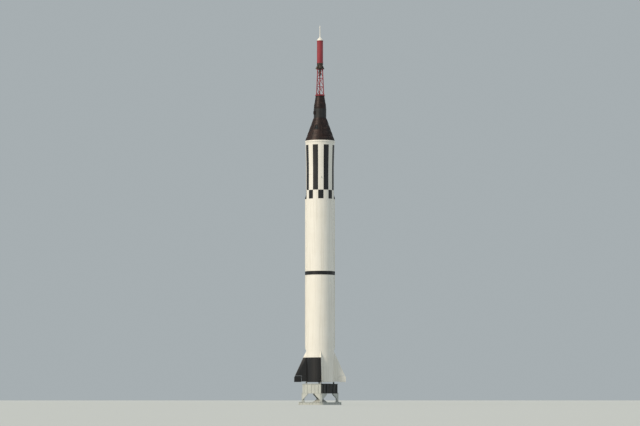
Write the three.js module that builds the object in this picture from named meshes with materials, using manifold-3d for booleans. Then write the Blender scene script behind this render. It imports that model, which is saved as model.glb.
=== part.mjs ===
// A single-stage space rocket with a one-seat capsule and an escape tower, standing on its launch stand.
// Millimetres, +Z up. The origin is the middle of the stand's underside.
// The front fin points to -Y, and the right fin to +X.
import * as THREE from "three";
import { mergeVertices } from "three/addons/utils/BufferGeometryUtils.js";
import { ConvexGeometry } from "three/addons/geometries/ConvexGeometry.js";
import Module from "manifold-3d";

const wasm = await Module();
wasm.setup();

// Driving dimensions
const seatGap = 0.3; // between pieces that rest on each other
const bodyRadius = 890;
const roundSides = 64; // sides of every large round piece
const smallSides = 16; // sides of shafts and bores
const bellSides = 32;
const cutMargin = 50; // by which a cutting solid stands past what it cuts
const endPlay = 5; // beyond the end of a turning shaft
const tailBaseZ = 1450; // the tail's lower edge, on top of the stand

// Heights above the tail's lower edge
const tailTop = 2450;
const finTop = 1950;
const bandBottom = 6820;
const bandTop = 7060;
const instrumentBottom = 11680;
const adapterBottom = 13840;
const adapterTop = 15290;
const capsuleBase = 15420;
const coneTop = 16895;
const recoveryTop = 17495;
const canisterTop = 18330;
const towerTop = 20050;
const motorBottom = 20440;
const motorTop = 21900;
const spikeTip = 22900;

// The four sides that carry a fin, a stand leg and a vane: name, degrees round from +X
const sides = [
  { name: "front", turn: 270 },
  { name: "right", turn: 0 },
  { name: "rear", turn: 90 },
  { name: "left", turn: 180 },
];

// Materials
const paint = (hex, roughness = 0.45) =>
  new THREE.MeshStandardMaterial({ color: hex, roughness, metalness: 0 });
const metal = (hex, roughness) =>
  new THREE.MeshStandardMaterial({ color: hex, roughness, metalness: 0.9 });
const materials = {
  whitePaint: paint(0xebe8dd),
  blackPaint: paint(0x1a1a1b, 0.5),
  redPaint: paint(0x8e2228, 0.45),
  greyPaint: paint(0x8f9698, 0.55),
  shingle: paint(0x1d1c1e, 0.5),
  darkSteel: metal(0x3b3836, 0.5),
  castSteel: metal(0x77736c, 0.45),
  carbon: paint(0x2a2a2c, 0.8),
  glass: new THREE.MeshStandardMaterial({ color: 0x1b2226, roughness: 0.08, metalness: 0 }),
  heatShield: paint(0x4a4038, 0.7),
};

// Solids: a geometry becomes a manifold-3d solid, and a solid becomes a geometry
function solidOf(geometry) {
  const bare = geometry.index ? geometry.toNonIndexed() : geometry.clone();
  const merged = mergeVertices(
    new THREE.BufferGeometry().setAttribute("position", bare.getAttribute("position")),
    1e-3,
  );
  return new wasm.Manifold(
    new wasm.Mesh({
      numProp: 3,
      vertProperties: merged.attributes.position.array,
      triVerts: new Uint32Array(merged.index.array),
    }),
  );
}

function geometryOf(solid) {
  const made = solid.getMesh();
  const points = new Float32Array(made.numVert * 3);
  for (let i = 0; i < made.numVert; i++) {
    points.set(made.vertProperties.subarray(i * made.numProp, i * made.numProp + 3), i * 3);
  }
  return new THREE.BufferGeometry()
    .setAttribute("position", new THREE.BufferAttribute(points, 3))
    .setIndex(new THREE.BufferAttribute(made.triVerts, 1));
}

const joined = (first, ...rest) => rest.reduce((all, next) => all.add(next), first);

// A round piece about Z from a profile of [radius, height], counter-clockwise with the axis at the left
function turned(profile, segments = roundSides) {
  const points = profile.map(([radius, height]) => new THREE.Vector2(radius, height));
  return new THREE.LatheGeometry(points, segments).rotateX(Math.PI / 2);
}

function box(size, centre) {
  return new THREE.BoxGeometry(...size).translate(...centre);
}

// A cylinder lying along +X from x0 to x1 at height z
function shaftAlongX(radius, x0, x1, z) {
  return new THREE.CylinderGeometry(radius, radius, x1 - x0, smallSides)
    .rotateZ(-Math.PI / 2)
    .translate((x0 + x1) / 2, 0, z);
}

// A round strut between two points
function strut(from, to, radius, segments = 8) {
  const start = new THREE.Vector3(...from);
  const way = new THREE.Vector3(...to).sub(start);
  const turn = new THREE.Quaternion().setFromUnitVectors(
    new THREE.Vector3(0, 1, 0),
    way.clone().normalize(),
  );
  return new THREE.CylinderGeometry(radius, radius, way.length(), segments)
    .applyQuaternion(turn)
    .translate(...start.add(way.multiplyScalar(0.5)).toArray());
}

const convex = (points) => new ConvexGeometry(points.map((p) => new THREE.Vector3(...p)));

// A blade in the plane of X and Z from rows of radius, height and half thickness
const bladeSolid = (rows) =>
  solidOf(convex(rows.flatMap(([radius, z, half]) => [[radius, half, z], [radius, -half, z]])));

// A plain drum about Z, straight or tapered
const drum = (radius, bottom, top, topRadius = radius, segments = roundSides) =>
  turned([[0, bottom], [radius, bottom], [topRadius, top], [0, top]], segments);

const radians = (degrees) => THREE.MathUtils.degToRad(degrees);

const rocket = new THREE.Group();
const vehicle = new THREE.Group(); // everything above the stand
vehicle.position.z = tailBaseZ;
rocket.add(vehicle);

function place(parent, name, geometry, material, turnDegrees = 0) {
  const mesh = new THREE.Mesh(geometry, material);
  mesh.name = name;
  mesh.rotation.z = radians(turnDegrees);
  parent.add(mesh);
  return mesh;
}

// Launch stand: a square base frame with its corners under the fins, a flame deflector on the plate
// that fills it, four legs, and a square table with a round hole. Radii run from the rocket's axis.
const stand = {
  baseCorner: 1480,
  baseCut: 1390, // where a corner is cut off square
  baseBeam: 180,
  baseHeight: 160,
  legSeat: 960, // the frame's flat inner corners begin here and carry the legs
  plateThick: 30,
  legInner: 1000,
  legOuter: 1170,
  legWidth: 150,
  gussetRoot: 80, // along the table's face from its corner
  gussetFoot: 150,
  gussetReach: 560,
  gussetBottom: 330,
  gussetLip: 60,
  gussetThick: 40,
  tableCorner: 1220,
  tableCut: 1150,
  tableBottom: 720,
  tableTop: 1330,
  holeRadius: 690,
  postRadius: 868,
  postSize: 110,
  sink: 5, // by which a piece that is welded on starts inside the piece below
  deflectorFoot: 900,
  deflectorApex: 640,
  deflectorPull: [324, 90], // radius and height of the point that draws the ridges' curve inwards
  deflectorSteps: 6,
};

// Corners of a square whose corners point along X and Y, each cut off square, counter-clockwise
function cutSquare(corner, cut) {
  const half = corner - cut;
  return [0, 90, 180, 270].flatMap((turn) =>
    [-half, half].map((y) =>
      new THREE.Vector2(cut, y).rotateAround(new THREE.Vector2(), radians(turn)),
    ),
  );
}

function extruded(outline, hole, bottom, top) {
  const shape = new THREE.Shape(outline);
  if (hole) {
    shape.holes.push(hole);
  }
  return new THREE.ExtrudeGeometry(shape, {
    depth: top - bottom,
    bevelEnabled: false,
    curveSegments: roundSides,
  }).translate(0, 0, bottom);
}

const openCorner = stand.baseCorner - stand.baseBeam * Math.SQRT2;
const frameHole = new THREE.Path(cutSquare(openCorner, stand.legSeat).reverse());
place(
  rocket,
  "stand_base_frame",
  extruded(cutSquare(stand.baseCorner, stand.baseCut), frameHole, 0, stand.baseHeight),
  materials.greyPaint,
);

// The deflector's four ridges run down towards the legs in a hollow curve
const deflectorFootZ = stand.plateThick - stand.sink;
const deflectorCurve = new THREE.QuadraticBezierCurve(
  new THREE.Vector2(stand.deflectorFoot, deflectorFootZ),
  new THREE.Vector2(...stand.deflectorPull),
  new THREE.Vector2(0, stand.deflectorApex),
);
const deflectorPyramid = turned(
  [[0, deflectorFootZ], ...deflectorCurve.getPoints(stand.deflectorSteps).map((p) => [p.x, p.y])],
  4,
);
const plateOutline = cutSquare(openCorner - seatGap * 2, stand.legSeat - seatGap);
place(
  rocket,
  "flame_deflector",
  geometryOf(
    joined(solidOf(extruded(plateOutline, null, 0, stand.plateThick)), solidOf(deflectorPyramid)),
  ),
  materials.greyPaint,
);

// A leg with a tapered gusset under each of the table's two faces that meet there
function legGeometry() {
  const bottom = stand.baseHeight + seatGap;
  const top = stand.tableBottom - seatGap;
  const core = solidOf(
    box(
      [stand.legOuter - stand.legInner, stand.legWidth, top - bottom],
      [(stand.legOuter + stand.legInner) / 2, 0, (top + bottom) / 2],
    ),
  );
  const gussets = [-1, 1].map((way) => {
    // Distance along the table's face from its corner, height
    const outline = [
      [stand.gussetRoot, top],
      [stand.gussetRoot, stand.gussetBottom],
      [stand.gussetFoot, stand.gussetBottom],
      [stand.gussetReach, top - stand.gussetLip],
      [stand.gussetReach, top],
    ];
    return solidOf(
      convex(
        outline.flatMap(([along, z]) =>
          [0, stand.gussetThick].map((inward) => [
            stand.tableCorner - (along + inward) * Math.SQRT1_2,
            way * (along - inward) * Math.SQRT1_2,
            z,
          ]),
        ),
      ),
    );
  });
  return geometryOf(joined(core, ...gussets));
}
for (const side of sides) {
  place(rocket, "stand_leg_" + side.name, legGeometry(), materials.greyPaint, side.turn);
}

// Posts on the table stand under the tail's edge, one below each fin's root
const tableHole = new THREE.Path().absarc(0, 0, stand.holeRadius, 0, Math.PI * 2, true);
const tableSlab = solidOf(
  extruded(
    cutSquare(stand.tableCorner, stand.tableCut),
    tableHole,
    stand.tableBottom,
    stand.tableTop,
  ),
);
const postTop = tailBaseZ - seatGap;
const posts = sides.map((side) =>
  solidOf(
    box(
      [stand.postSize, stand.postSize, postTop - stand.tableTop + stand.sink],
      [stand.postRadius, 0, (postTop + stand.tableTop - stand.sink) / 2],
    ).rotateZ(radians(side.turn)),
  ),
);
place(rocket, "stand_table", geometryOf(joined(tableSlab, ...posts)), materials.greyPaint);

// Tail unit: a skin with a roof, a ledge that seats the base heat shield, and four vane bearings
const tail = {
  wall: 32,
  ledge: 18,
  shieldZ: 400,
  shieldThick: 20,
  roofZ: 2300,
};
const tailInner = bodyRadius - tail.wall;
const ledgeInner = tailInner - tail.ledge;
const ledgeZ = tail.shieldZ + tail.shieldThick + seatGap;

// Jet vane, in the plane of its fin, radii from the rocket's axis and heights above the tail's edge
const vane = {
  axisZ: 240,
  shaftRadius: 25,
  boreRadius: 25.9,
  bladeInner: 150,
  bladeOuter: 430,
  top: 330,
  bottom: 95,
  half: 25, // half thickness at the shaft, at the upper edge and at the lower edge
  topHalf: 12,
  bottomHalf: 8,
  innerSlope: 30, // the inner edge leans out by this much at the bottom
  shaftRoot: 390,
  shaftEnd: 750,
  collarRadius: 55,
  collarInner: 420,
  collarOuter: 455,
  bearingInner: 640,
  bearingSize: 120,
};

const tailSkin = solidOf(
  turned([
    [tailInner, 0],
    [bodyRadius, 0],
    [bodyRadius, tailTop - seatGap],
    [0, tailTop - seatGap],
    [0, tail.roofZ],
    [ledgeInner, tail.roofZ],
    [ledgeInner, ledgeZ],
    [tailInner, ledgeZ],
    [tailInner, 0],
  ]),
);
const bearings = sides.map((side) => {
  const outer = tailInner + tail.wall / 2;
  const block = solidOf(
    box(
      [outer - vane.bearingInner, vane.bearingSize, vane.bearingSize],
      [(outer + vane.bearingInner) / 2, 0, vane.axisZ],
    ).rotateZ(radians(side.turn)),
  );
  const bore = solidOf(
    shaftAlongX(
      vane.boreRadius,
      vane.bearingInner - cutMargin,
      vane.shaftEnd + endPlay,
      vane.axisZ,
    ).rotateZ(radians(side.turn)),
  );
  return block.subtract(bore);
});

// Fin planform in its own plane: radius from the axis, height above the tail's edge
const fin = {
  tipRadius: 1650,
  tipTop: 300,
  bottom: 30,
  rootHalf: 75,
  tipHalf: 34,
  edgeHalf: 7,
  noseDepth: 170, // from the leading edge in to the thickest line, at the tip
  rootNoseDepth: 340,
  rootInset: 40, // by which the root starts inside the skin, before it is cut to it
};
const rudder = {
  axisZ: 300,
  inner: 1190,
  top: 390,
  shaftInner: 1090,
  half: 30,
  edgeHalf: 8,
  shaftGrip: 60, // length of the shaft inside the blade
  gap: 10,
};
// Radius of the leading edge at a height
const leadRadius = (z) =>
  bodyRadius + ((finTop - z) / (finTop - fin.tipTop)) * (fin.tipRadius - bodyRadius);

function finGeometry() {
  const rootRadius = bodyRadius - fin.rootInset;
  const rows = [
    // radius, height, half thickness
    [rootRadius, finTop, fin.edgeHalf],
    [rootRadius, finTop - fin.rootNoseDepth, fin.rootHalf],
    [rootRadius, fin.bottom, fin.rootHalf],
    [fin.tipRadius, fin.tipTop, fin.edgeHalf],
    [fin.tipRadius - fin.noseDepth, fin.tipTop, fin.tipHalf],
    [fin.tipRadius, fin.bottom, fin.edgeHalf],
    [fin.tipRadius - fin.noseDepth, fin.bottom, fin.tipHalf],
  ];
  const whole = bladeSolid(rows);
  const notchInner = rudder.inner - rudder.gap;
  const notchOuter = fin.tipRadius + cutMargin;
  const notchTop = rudder.top + rudder.gap;
  const notch = solidOf(
    box(
      [notchOuter - notchInner, fin.rootHalf * 2, notchTop + cutMargin],
      [(notchOuter + notchInner) / 2, 0, (notchTop - cutMargin) / 2],
    ),
  );
  const bore = solidOf(
    shaftAlongX(vane.boreRadius, rudder.shaftInner - endPlay, rudder.inner, rudder.axisZ),
  );
  const skin = solidOf(drum(bodyRadius + seatGap, -cutMargin, tailTop));
  return geometryOf(whole.subtract(notch).subtract(bore).subtract(skin));
}

// The rudder fills the fin's lower outer corner and turns on a shaft that enters the fin
function rudderGeometry() {
  const rows = [
    [rudder.inner, rudder.top, rudder.edgeHalf],
    [rudder.inner, rudder.axisZ, rudder.half],
    [rudder.inner, 0, rudder.edgeHalf],
    [leadRadius(rudder.top), rudder.top, rudder.edgeHalf],
    [fin.tipRadius, rudder.axisZ, rudder.edgeHalf * 2],
    [fin.tipRadius, 0, rudder.edgeHalf],
  ];
  const shaft = solidOf(
    shaftAlongX(
      vane.shaftRadius,
      rudder.shaftInner,
      rudder.inner + rudder.shaftGrip,
      rudder.axisZ,
    ),
  );
  return geometryOf(bladeSolid(rows).add(shaft));
}

function vaneGeometry() {
  const rows = [
    [vane.bladeInner, vane.top, vane.topHalf],
    [vane.bladeInner, vane.axisZ, vane.half],
    [vane.bladeInner + vane.innerSlope, vane.bottom, vane.bottomHalf],
    [vane.bladeOuter, vane.top, vane.topHalf],
    [vane.bladeOuter, vane.axisZ, vane.half],
    [vane.bladeOuter, vane.bottom, vane.bottomHalf],
  ];
  const collar = shaftAlongX(vane.collarRadius, vane.collarInner, vane.collarOuter, vane.axisZ);
  const shaft = shaftAlongX(vane.shaftRadius, vane.shaftRoot, vane.shaftEnd, vane.axisZ);
  return geometryOf(joined(bladeSolid(rows), solidOf(collar), solidOf(shaft)));
}

place(vehicle, "tail_unit", geometryOf(joined(tailSkin, ...bearings)), materials.whitePaint);
for (const side of sides) {
  place(vehicle, "fin_" + side.name, finGeometry(), materials.whitePaint, side.turn);
  place(vehicle, "rudder_" + side.name, rudderGeometry(), materials.whitePaint, side.turn);
  place(vehicle, "jet_vane_" + side.name, vaneGeometry(), materials.carbon, side.turn);
}

// Engine: a bell that opens downwards, and the chamber with its pumps as one block
const engine = {
  exitZ: 350,
  exitInner: 425,
  exitOuter: 450,
  throatZ: 1150,
  throatInner: 190,
  throatOuter: 235,
  bulge: 0.86, // share of the exit radius and the height at which the bell's curve is pulled
  bulgeHeight: 360,
  crown: 30, // closed top above the throat
  blockRadius: 320,
  blockSides: 24,
  shieldGap: 8,
};
const bellCurve = (exitRadius, throatRadius) =>
  new THREE.QuadraticBezierCurve(
    new THREE.Vector2(exitRadius, engine.exitZ),
    new THREE.Vector2(exitRadius * engine.bulge, engine.exitZ + engine.bulgeHeight),
    new THREE.Vector2(throatRadius, engine.throatZ),
  )
    .getPoints(5)
    .map((p) => [p.x, p.y]);
const bellTop = engine.throatZ + engine.crown;
place(
  vehicle,
  "engine_bell",
  turned(
    [
      ...bellCurve(engine.exitOuter, engine.throatOuter),
      [engine.throatOuter, bellTop],
      [0, bellTop],
      [0, engine.throatZ],
      ...bellCurve(engine.exitInner, engine.throatInner).reverse(),
      [engine.exitOuter, engine.exitZ],
    ],
    bellSides,
  ),
  materials.castSteel,
);
place(
  vehicle,
  "engine_block",
  drum(
    engine.blockRadius,
    bellTop + seatGap,
    tail.roofZ - seatGap,
    engine.blockRadius,
    engine.blockSides,
  ),
  materials.castSteel,
);
const shieldInner = engine.exitOuter + engine.shieldGap;
place(
  vehicle,
  "base_heat_shield",
  turned([
    [shieldInner, tail.shieldZ],
    [tailInner - seatGap, tail.shieldZ],
    [tailInner - seatGap, tail.shieldZ + tail.shieldThick],
    [shieldInner, tail.shieldZ + tail.shieldThick],
    [shieldInner, tail.shieldZ],
  ]),
  materials.darkSteel,
);

// Body sections above the tail
const adapterRadius = 932;
const jointRadius = bodyRadius + 6;
const sections = [
  // name, lower end, upper end, radius, material
  ["lower_tank_section", tailTop, bandBottom, bodyRadius, "whitePaint"],
  ["tank_joint_ring", bandBottom, bandTop, jointRadius, "blackPaint"],
  ["upper_tank_section", bandTop, instrumentBottom, bodyRadius, "whitePaint"],
];
for (const [name, bottom, top, radius, material] of sections) {
  place(vehicle, name, drum(radius, bottom, top - seatGap), materials[material]);
}

// The instrument section has a curved door let into its skin at each side
const door = { thick: 26, reach: 120, width: 620, bottom: 12360, top: 13240, gap: 4 };
const doors = [
  { name: "instrument_door_right", turn: 45 },
  { name: "instrument_door_left", turn: 225 },
];

function doorBlock(grow, turn) {
  return solidOf(
    box(
      [door.reach * 2, door.width + grow * 2, door.top - door.bottom + grow * 2],
      [bodyRadius, 0, (door.bottom + door.top) / 2],
    ).rotateZ(radians(turn)),
  );
}

const instrumentTop = adapterBottom - seatGap;
const instrumentDrum = solidOf(drum(bodyRadius, instrumentBottom, instrumentTop));
const instrumentRind = (depth) =>
  instrumentDrum.subtract(
    solidOf(drum(bodyRadius - depth, instrumentBottom - cutMargin, instrumentTop + cutMargin)),
  );
let instrumentSolid = instrumentDrum;
for (const { name, turn } of doors) {
  const pocket = instrumentRind(door.thick).intersect(doorBlock(door.gap, turn));
  const panel = instrumentRind(door.thick - seatGap).intersect(doorBlock(0, turn));
  instrumentSolid = instrumentSolid.subtract(pocket);
  place(vehicle, name, geometryOf(panel), materials.whitePaint);
}
place(vehicle, "instrument_section", geometryOf(instrumentSolid), materials.whitePaint);

// The adapter flares to the capsule, with a well for the capsule's heat shield
const well = { wall: 70, depth: 190 };
const wellRadius = adapterRadius - well.wall;
const adapterSolid = solidOf(drum(bodyRadius, adapterBottom, adapterTop - seatGap, adapterRadius));
const wellSolid = solidOf(drum(wellRadius, adapterTop - well.depth, adapterTop + cutMargin));
place(
  vehicle,
  "spacecraft_adapter",
  geometryOf(adapterSolid.subtract(wellSolid)),
  materials.whitePaint,
);

// Cable ducts up the two sides, over the joint ring, from above the fins to the instrument section
const duct = {
  half: 75,
  shoulder: 47, // half width of the flat outer face
  rise: 62,
  lip: 8, // height of the pointed ends
  endSlope: 160,
  inset: 30,
  bottom: finTop + 60,
  top: instrumentBottom + 240,
};
function ductGeometry() {
  const outer = bodyRadius + duct.rise;
  const ends = bodyRadius + duct.lip;
  const rows = [
    // radius, height, half width: the ends slope back to the skin
    [bodyRadius - duct.inset, duct.bottom, duct.half],
    [ends, duct.bottom, duct.half],
    [outer, duct.bottom + duct.endSlope, duct.shoulder],
    [outer, duct.top - duct.endSlope, duct.shoulder],
    [ends, duct.top, duct.half],
    [bodyRadius - duct.inset, duct.top, duct.half],
  ];
  const skin = drum(bodyRadius + seatGap, duct.bottom - cutMargin, duct.top + cutMargin);
  const ring = drum(jointRadius + seatGap, bandBottom - seatGap, bandTop + seatGap);
  return geometryOf(bladeSolid(rows).subtract(solidOf(skin).add(solidOf(ring))));
}
place(vehicle, "cable_duct_right", ductGeometry(), materials.whitePaint, 0);
place(vehicle, "cable_duct_left", ductGeometry(), materials.whitePaint, 180);

// Capsule: a cone-shaped cabin with a hatch and a window, closed below by its heat shield
const capsule = {
  baseRadius: 946,
  coneTopRadius: 412,
  wall: 60,
  recoveryRadius: 404,
  canisterLower: 392,
  canisterUpper: 282,
  canisterSkirt: 120, // height of its straight foot
  canisterRim: 60, // height of its straight top
};

// The clamp ring holds the cabin's foot to the adapter's top edge
const clamp = { outer: 962, chamfer: 30 };
place(
  vehicle,
  "capsule_clamp_ring",
  turned([
    [wellRadius, adapterTop],
    [adapterRadius, adapterTop],
    [clamp.outer, adapterTop + clamp.chamfer],
    [clamp.outer, capsuleBase - clamp.chamfer],
    [capsule.baseRadius, capsuleBase - seatGap],
    [wellRadius, capsuleBase - seatGap],
    [wellRadius, adapterTop],
  ]),
  materials.whitePaint,
);

// The heat shield's lower face is a shallow dome
const shield = { radius: wellRadius - seatGap, rim: 40, dome: 110, flat: 430, steps: 4 };
const shieldEdgeZ = capsuleBase - shield.rim;
const shieldMiddleZ = shieldEdgeZ - shield.dome;
const shieldCurve = new THREE.QuadraticBezierCurve(
  new THREE.Vector2(0, shieldMiddleZ),
  new THREE.Vector2(shield.flat, shieldMiddleZ),
  new THREE.Vector2(shield.radius, shieldEdgeZ),
);
place(
  vehicle,
  "heat_shield",
  turned([
    ...shieldCurve.getPoints(shield.steps).map((p) => [p.x, p.y]),
    [shield.radius, capsuleBase - seatGap],
    [0, capsuleBase - seatGap],
  ]),
  materials.heatShield,
);

const coneSlope = (capsule.baseRadius - capsule.coneTopRadius) / (coneTop - capsuleBase);
const coneRadius = (z) => capsule.baseRadius - (z - capsuleBase) * coneSlope;
const ceilingZ = coneTop - capsule.wall - seatGap;
const sideWall = capsule.wall / Math.cos(Math.atan(coneSlope)); // the wall's thickness, level
const cabin = solidOf(
  turned([
    [capsule.baseRadius - sideWall, capsuleBase],
    [capsule.baseRadius, capsuleBase],
    [capsule.coneTopRadius, coneTop - seatGap],
    [0, coneTop - seatGap],
    [0, ceilingZ],
    [coneRadius(ceilingZ) - sideWall, ceilingZ],
    [capsule.baseRadius - sideWall, capsuleBase],
  ]),
);

// Cuts through the cabin wall: degrees round from +X, heights above the capsule's base, half widths
const hatchCut = { turn: 300, bottom: 330, top: 930, lowHalf: 330, topHalf: 215 };
const windowCut = { turn: 245, bottom: 700, top: 1010, lowHalf: 120, topHalf: 75 };
const wedge = { inner: 250, outer: 1100 }; // radii between which a cut runs

// A wedge that runs outwards along +X, with its outline in the plane across it
function openingWedge(opening, shrink) {
  const low = capsuleBase + opening.bottom + shrink;
  const high = capsuleBase + opening.top - shrink;
  const corners = [
    [low, opening.lowHalf - shrink],
    [high, opening.topHalf - shrink],
  ];
  return solidOf(
    convex(
      [wedge.inner, wedge.outer].flatMap((x) =>
        corners.flatMap(([z, half]) => [[x, half, z], [x, -half, z]]),
      ),
    ).rotateZ(radians(opening.turn)),
  );
}

const cabinShell = cabin
  .subtract(openingWedge(hatchCut, 0))
  .subtract(openingWedge(windowCut, 0));
place(vehicle, "cabin_shell", geometryOf(cabinShell), materials.shingle);
const hatchSolid = cabin.intersect(openingWedge(hatchCut, seatGap));
place(vehicle, "hatch", geometryOf(hatchSolid), materials.shingle);

// The pane is thinner than the wall and lies inside its face, between these shares of the wall
const paneShares = [0.3, 0.75];
const [paneOuter, paneInner] = paneShares.map((share) => sideWall * share);
const paneBand = solidOf(
  turned([
    [capsule.baseRadius - paneInner, capsuleBase],
    [capsule.baseRadius - paneOuter, capsuleBase],
    [capsule.coneTopRadius - paneOuter, coneTop],
    [capsule.coneTopRadius - paneInner, coneTop],
    [capsule.baseRadius - paneInner, capsuleBase],
  ]),
);
const paneSolid = paneBand.intersect(openingWedge(windowCut, seatGap));
place(vehicle, "window_pane", geometryOf(paneSolid), materials.glass);

const recoveryDrum = drum(capsule.recoveryRadius, coneTop, recoveryTop - seatGap);
place(vehicle, "recovery_section", recoveryDrum, materials.shingle);
place(
  vehicle,
  "antenna_canister",
  turned([
    [0, recoveryTop],
    [capsule.canisterLower, recoveryTop],
    [capsule.canisterLower, recoveryTop + capsule.canisterSkirt],
    [capsule.canisterUpper, canisterTop - capsule.canisterRim],
    [capsule.canisterUpper, canisterTop - seatGap],
    [0, canisterTop - seatGap],
  ]),
  materials.shingle,
);

// Two sensor housings stand out of the canister's foot and the recovery section
const sensors = [
  // name, degrees round, radius of what carries it, middle height, height, width, rise
  ["horizon_sensor_upper", 120, capsule.canisterLower, recoveryTop + 62, 110, 130, 60],
  ["horizon_sensor_lower", 210, capsule.recoveryRadius, coneTop + 330, 210, 150, 70],
];
for (const [name, turn, radius, z, height, width, rise] of sensors) {
  const block = solidOf(
    box([rise * 2, width, height], [radius, 0, z]).rotateZ(radians(turn)),
  );
  const wall = solidOf(drum(radius + seatGap, z - height, z + height));
  place(vehicle, name, geometryOf(block.subtract(wall)), materials.shingle);
}

// Escape tower: three legs in three bays, with rings and crossed braces
const tower = {
  footRadius: 262,
  headRadius: 182,
  ringInner: 200,
  ringOuter: 310,
  ringSides: 32,
  clampHeight: 56,
  legTube: 32,
  braceTube: 17,
  braceSides: 6,
  bays: 3,
  bayMargin: 0.04, // share of a bay between a brace's end and the bay's
  legTurns: [90, 210, 330],
};
const towerFootZ = canisterTop + tower.clampHeight;
const towerHeadZ = towerTop - seatGap;
place(
  vehicle,
  "tower_clamp_ring",
  turned(
    [
      [tower.ringInner, canisterTop],
      [tower.ringOuter, canisterTop],
      [tower.ringOuter, towerFootZ - seatGap],
      [tower.ringInner, towerFootZ - seatGap],
      [tower.ringInner, canisterTop],
    ],
    tower.ringSides,
  ),
  materials.redPaint,
);

// A point on a leg: which leg, and how far up from 0 to 1
function legPoint(leg, share) {
  const radius = THREE.MathUtils.lerp(tower.footRadius, tower.headRadius, share);
  const turn = radians(tower.legTurns[leg]);
  const z = THREE.MathUtils.lerp(towerFootZ, towerHeadZ, share);
  return [radius * Math.cos(turn), radius * Math.sin(turn), z];
}

function towerSolid() {
  const brace = (from, to) => strut(from, to, tower.braceTube, tower.braceSides);
  const pieces = [];
  for (let leg = 0; leg < tower.legTurns.length; leg++) {
    const next = (leg + 1) % tower.legTurns.length;
    pieces.push(strut(legPoint(leg, 0), legPoint(leg, 1), tower.legTube));
    for (let bay = 0; bay < tower.bays; bay++) {
      const low = (bay + tower.bayMargin) / tower.bays;
      const high = (bay + 1 - tower.bayMargin) / tower.bays;
      pieces.push(brace(legPoint(leg, low), legPoint(next, high)));
      pieces.push(brace(legPoint(leg, high), legPoint(next, high)));
    }
    const foot = tower.bayMargin / 2;
    pieces.push(brace(legPoint(leg, foot), legPoint(next, foot)));
  }
  // Level ends, so that the tower stands on its clamp ring and carries the motor
  const slab = solidOf(drum(tower.ringOuter * 2, towerFootZ, towerHeadZ));
  return joined(...pieces.map(solidOf)).intersect(slab);
}
place(vehicle, "escape_tower", geometryOf(towerSolid()), materials.redPaint);

// Escape motor: a head plate with three canted nozzles, a case, and a nose with a thin spike
const motor = {
  radius: 196,
  sides: 32,
  plateRadius: 225,
  plateThick: 45,
  skirtFoot: 120,
  skirtRim: 90,
  noseSides: 24,
};
const nozzle = {
  cant: 19,
  offset: 120, // of the throat from the rocket's axis
  throatZ: motorBottom - 70,
  length: 330,
  throat: 42,
  exit: 100,
  mouthStart: 90, // where the hollow begins, down the nozzle's axis
  mouthThroat: 21,
  mouthLength: 396,
  mouthExit: 110,
  turns: [30, 150, 270],
};

// A cone on a nozzle's canted axis: distances down the axis and the radius at each end
function nozzleCone(turn, fromLength, fromRadius, toLength, toRadius) {
  return solidOf(
    new THREE.CylinderGeometry(fromRadius, toRadius, toLength - fromLength, smallSides)
      .rotateX(Math.PI / 2)
      .translate(0, 0, -(fromLength + toLength) / 2)
      .rotateY(-radians(nozzle.cant))
      .translate(nozzle.offset, 0, nozzle.throatZ)
      .rotateZ(radians(turn)),
  );
}

function nozzleClusterSolid() {
  const plateTop = towerTop + motor.plateThick;
  const plate = drum(motor.plateRadius, towerTop, plateTop, motor.plateRadius, motor.noseSides);
  const skirt = turned(
    [
      [0, plateTop - stand.sink],
      [motor.skirtFoot, plateTop - stand.sink],
      [motor.radius, motorBottom - motor.skirtRim],
      [motor.radius, motorBottom - seatGap],
      [0, motorBottom - seatGap],
    ],
    motor.noseSides,
  );
  const cones = nozzle.turns.map((turn) =>
    nozzleCone(turn, 0, nozzle.throat, nozzle.length, nozzle.exit),
  );
  const mouths = nozzle.turns.map((turn) =>
    nozzleCone(turn, nozzle.mouthStart, nozzle.mouthThroat, nozzle.mouthLength, nozzle.mouthExit),
  );
  const whole = joined(solidOf(plate), solidOf(skirt), ...cones);
  return mouths.reduce((left, mouth) => left.subtract(mouth), whole);
}
place(vehicle, "escape_nozzle_cluster", geometryOf(nozzleClusterSolid()), materials.darkSteel);

// The small jettison motor hangs below the head plate, inside the tower
const jettison = { radius: 72, mouthRadius: 58, mouthHeight: 40, length: 420 };
place(
  vehicle,
  "jettison_motor",
  turned(
    [
      [0, towerTop - jettison.length],
      [jettison.mouthRadius, towerTop - jettison.length],
      [jettison.radius, towerTop - jettison.length + jettison.mouthHeight],
      [jettison.radius, towerHeadZ],
      [0, towerHeadZ],
    ],
    smallSides,
  ),
  materials.darkSteel,
);
place(
  vehicle,
  "escape_motor",
  drum(motor.radius, motorBottom, motorTop - seatGap, motor.radius, motor.sides),
  materials.redPaint,
);

// A rounded nose, a thin rod and a disc-shaped tip: radius, height above the motor
const nose = [
  [0, 0],
  [motor.radius, 0],
  [176, 70],
  [102, 170],
  [34, 260],
];
// radius, depth below the tip
const tip = [
  [24, 170],
  [38, 150],
  [0, 0],
];
place(
  vehicle,
  "nose_spike",
  turned(
    [
      ...nose.map(([radius, rise]) => [radius, motorTop + rise]),
      ...tip.map(([radius, depth]) => [radius, spikeTip - depth]),
    ],
    motor.noseSides,
  ),
  materials.whitePaint,
);

export default rocket;
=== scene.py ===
import functools
import math

import bpy
import bmesh
from mathutils import Matrix, Vector


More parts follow.
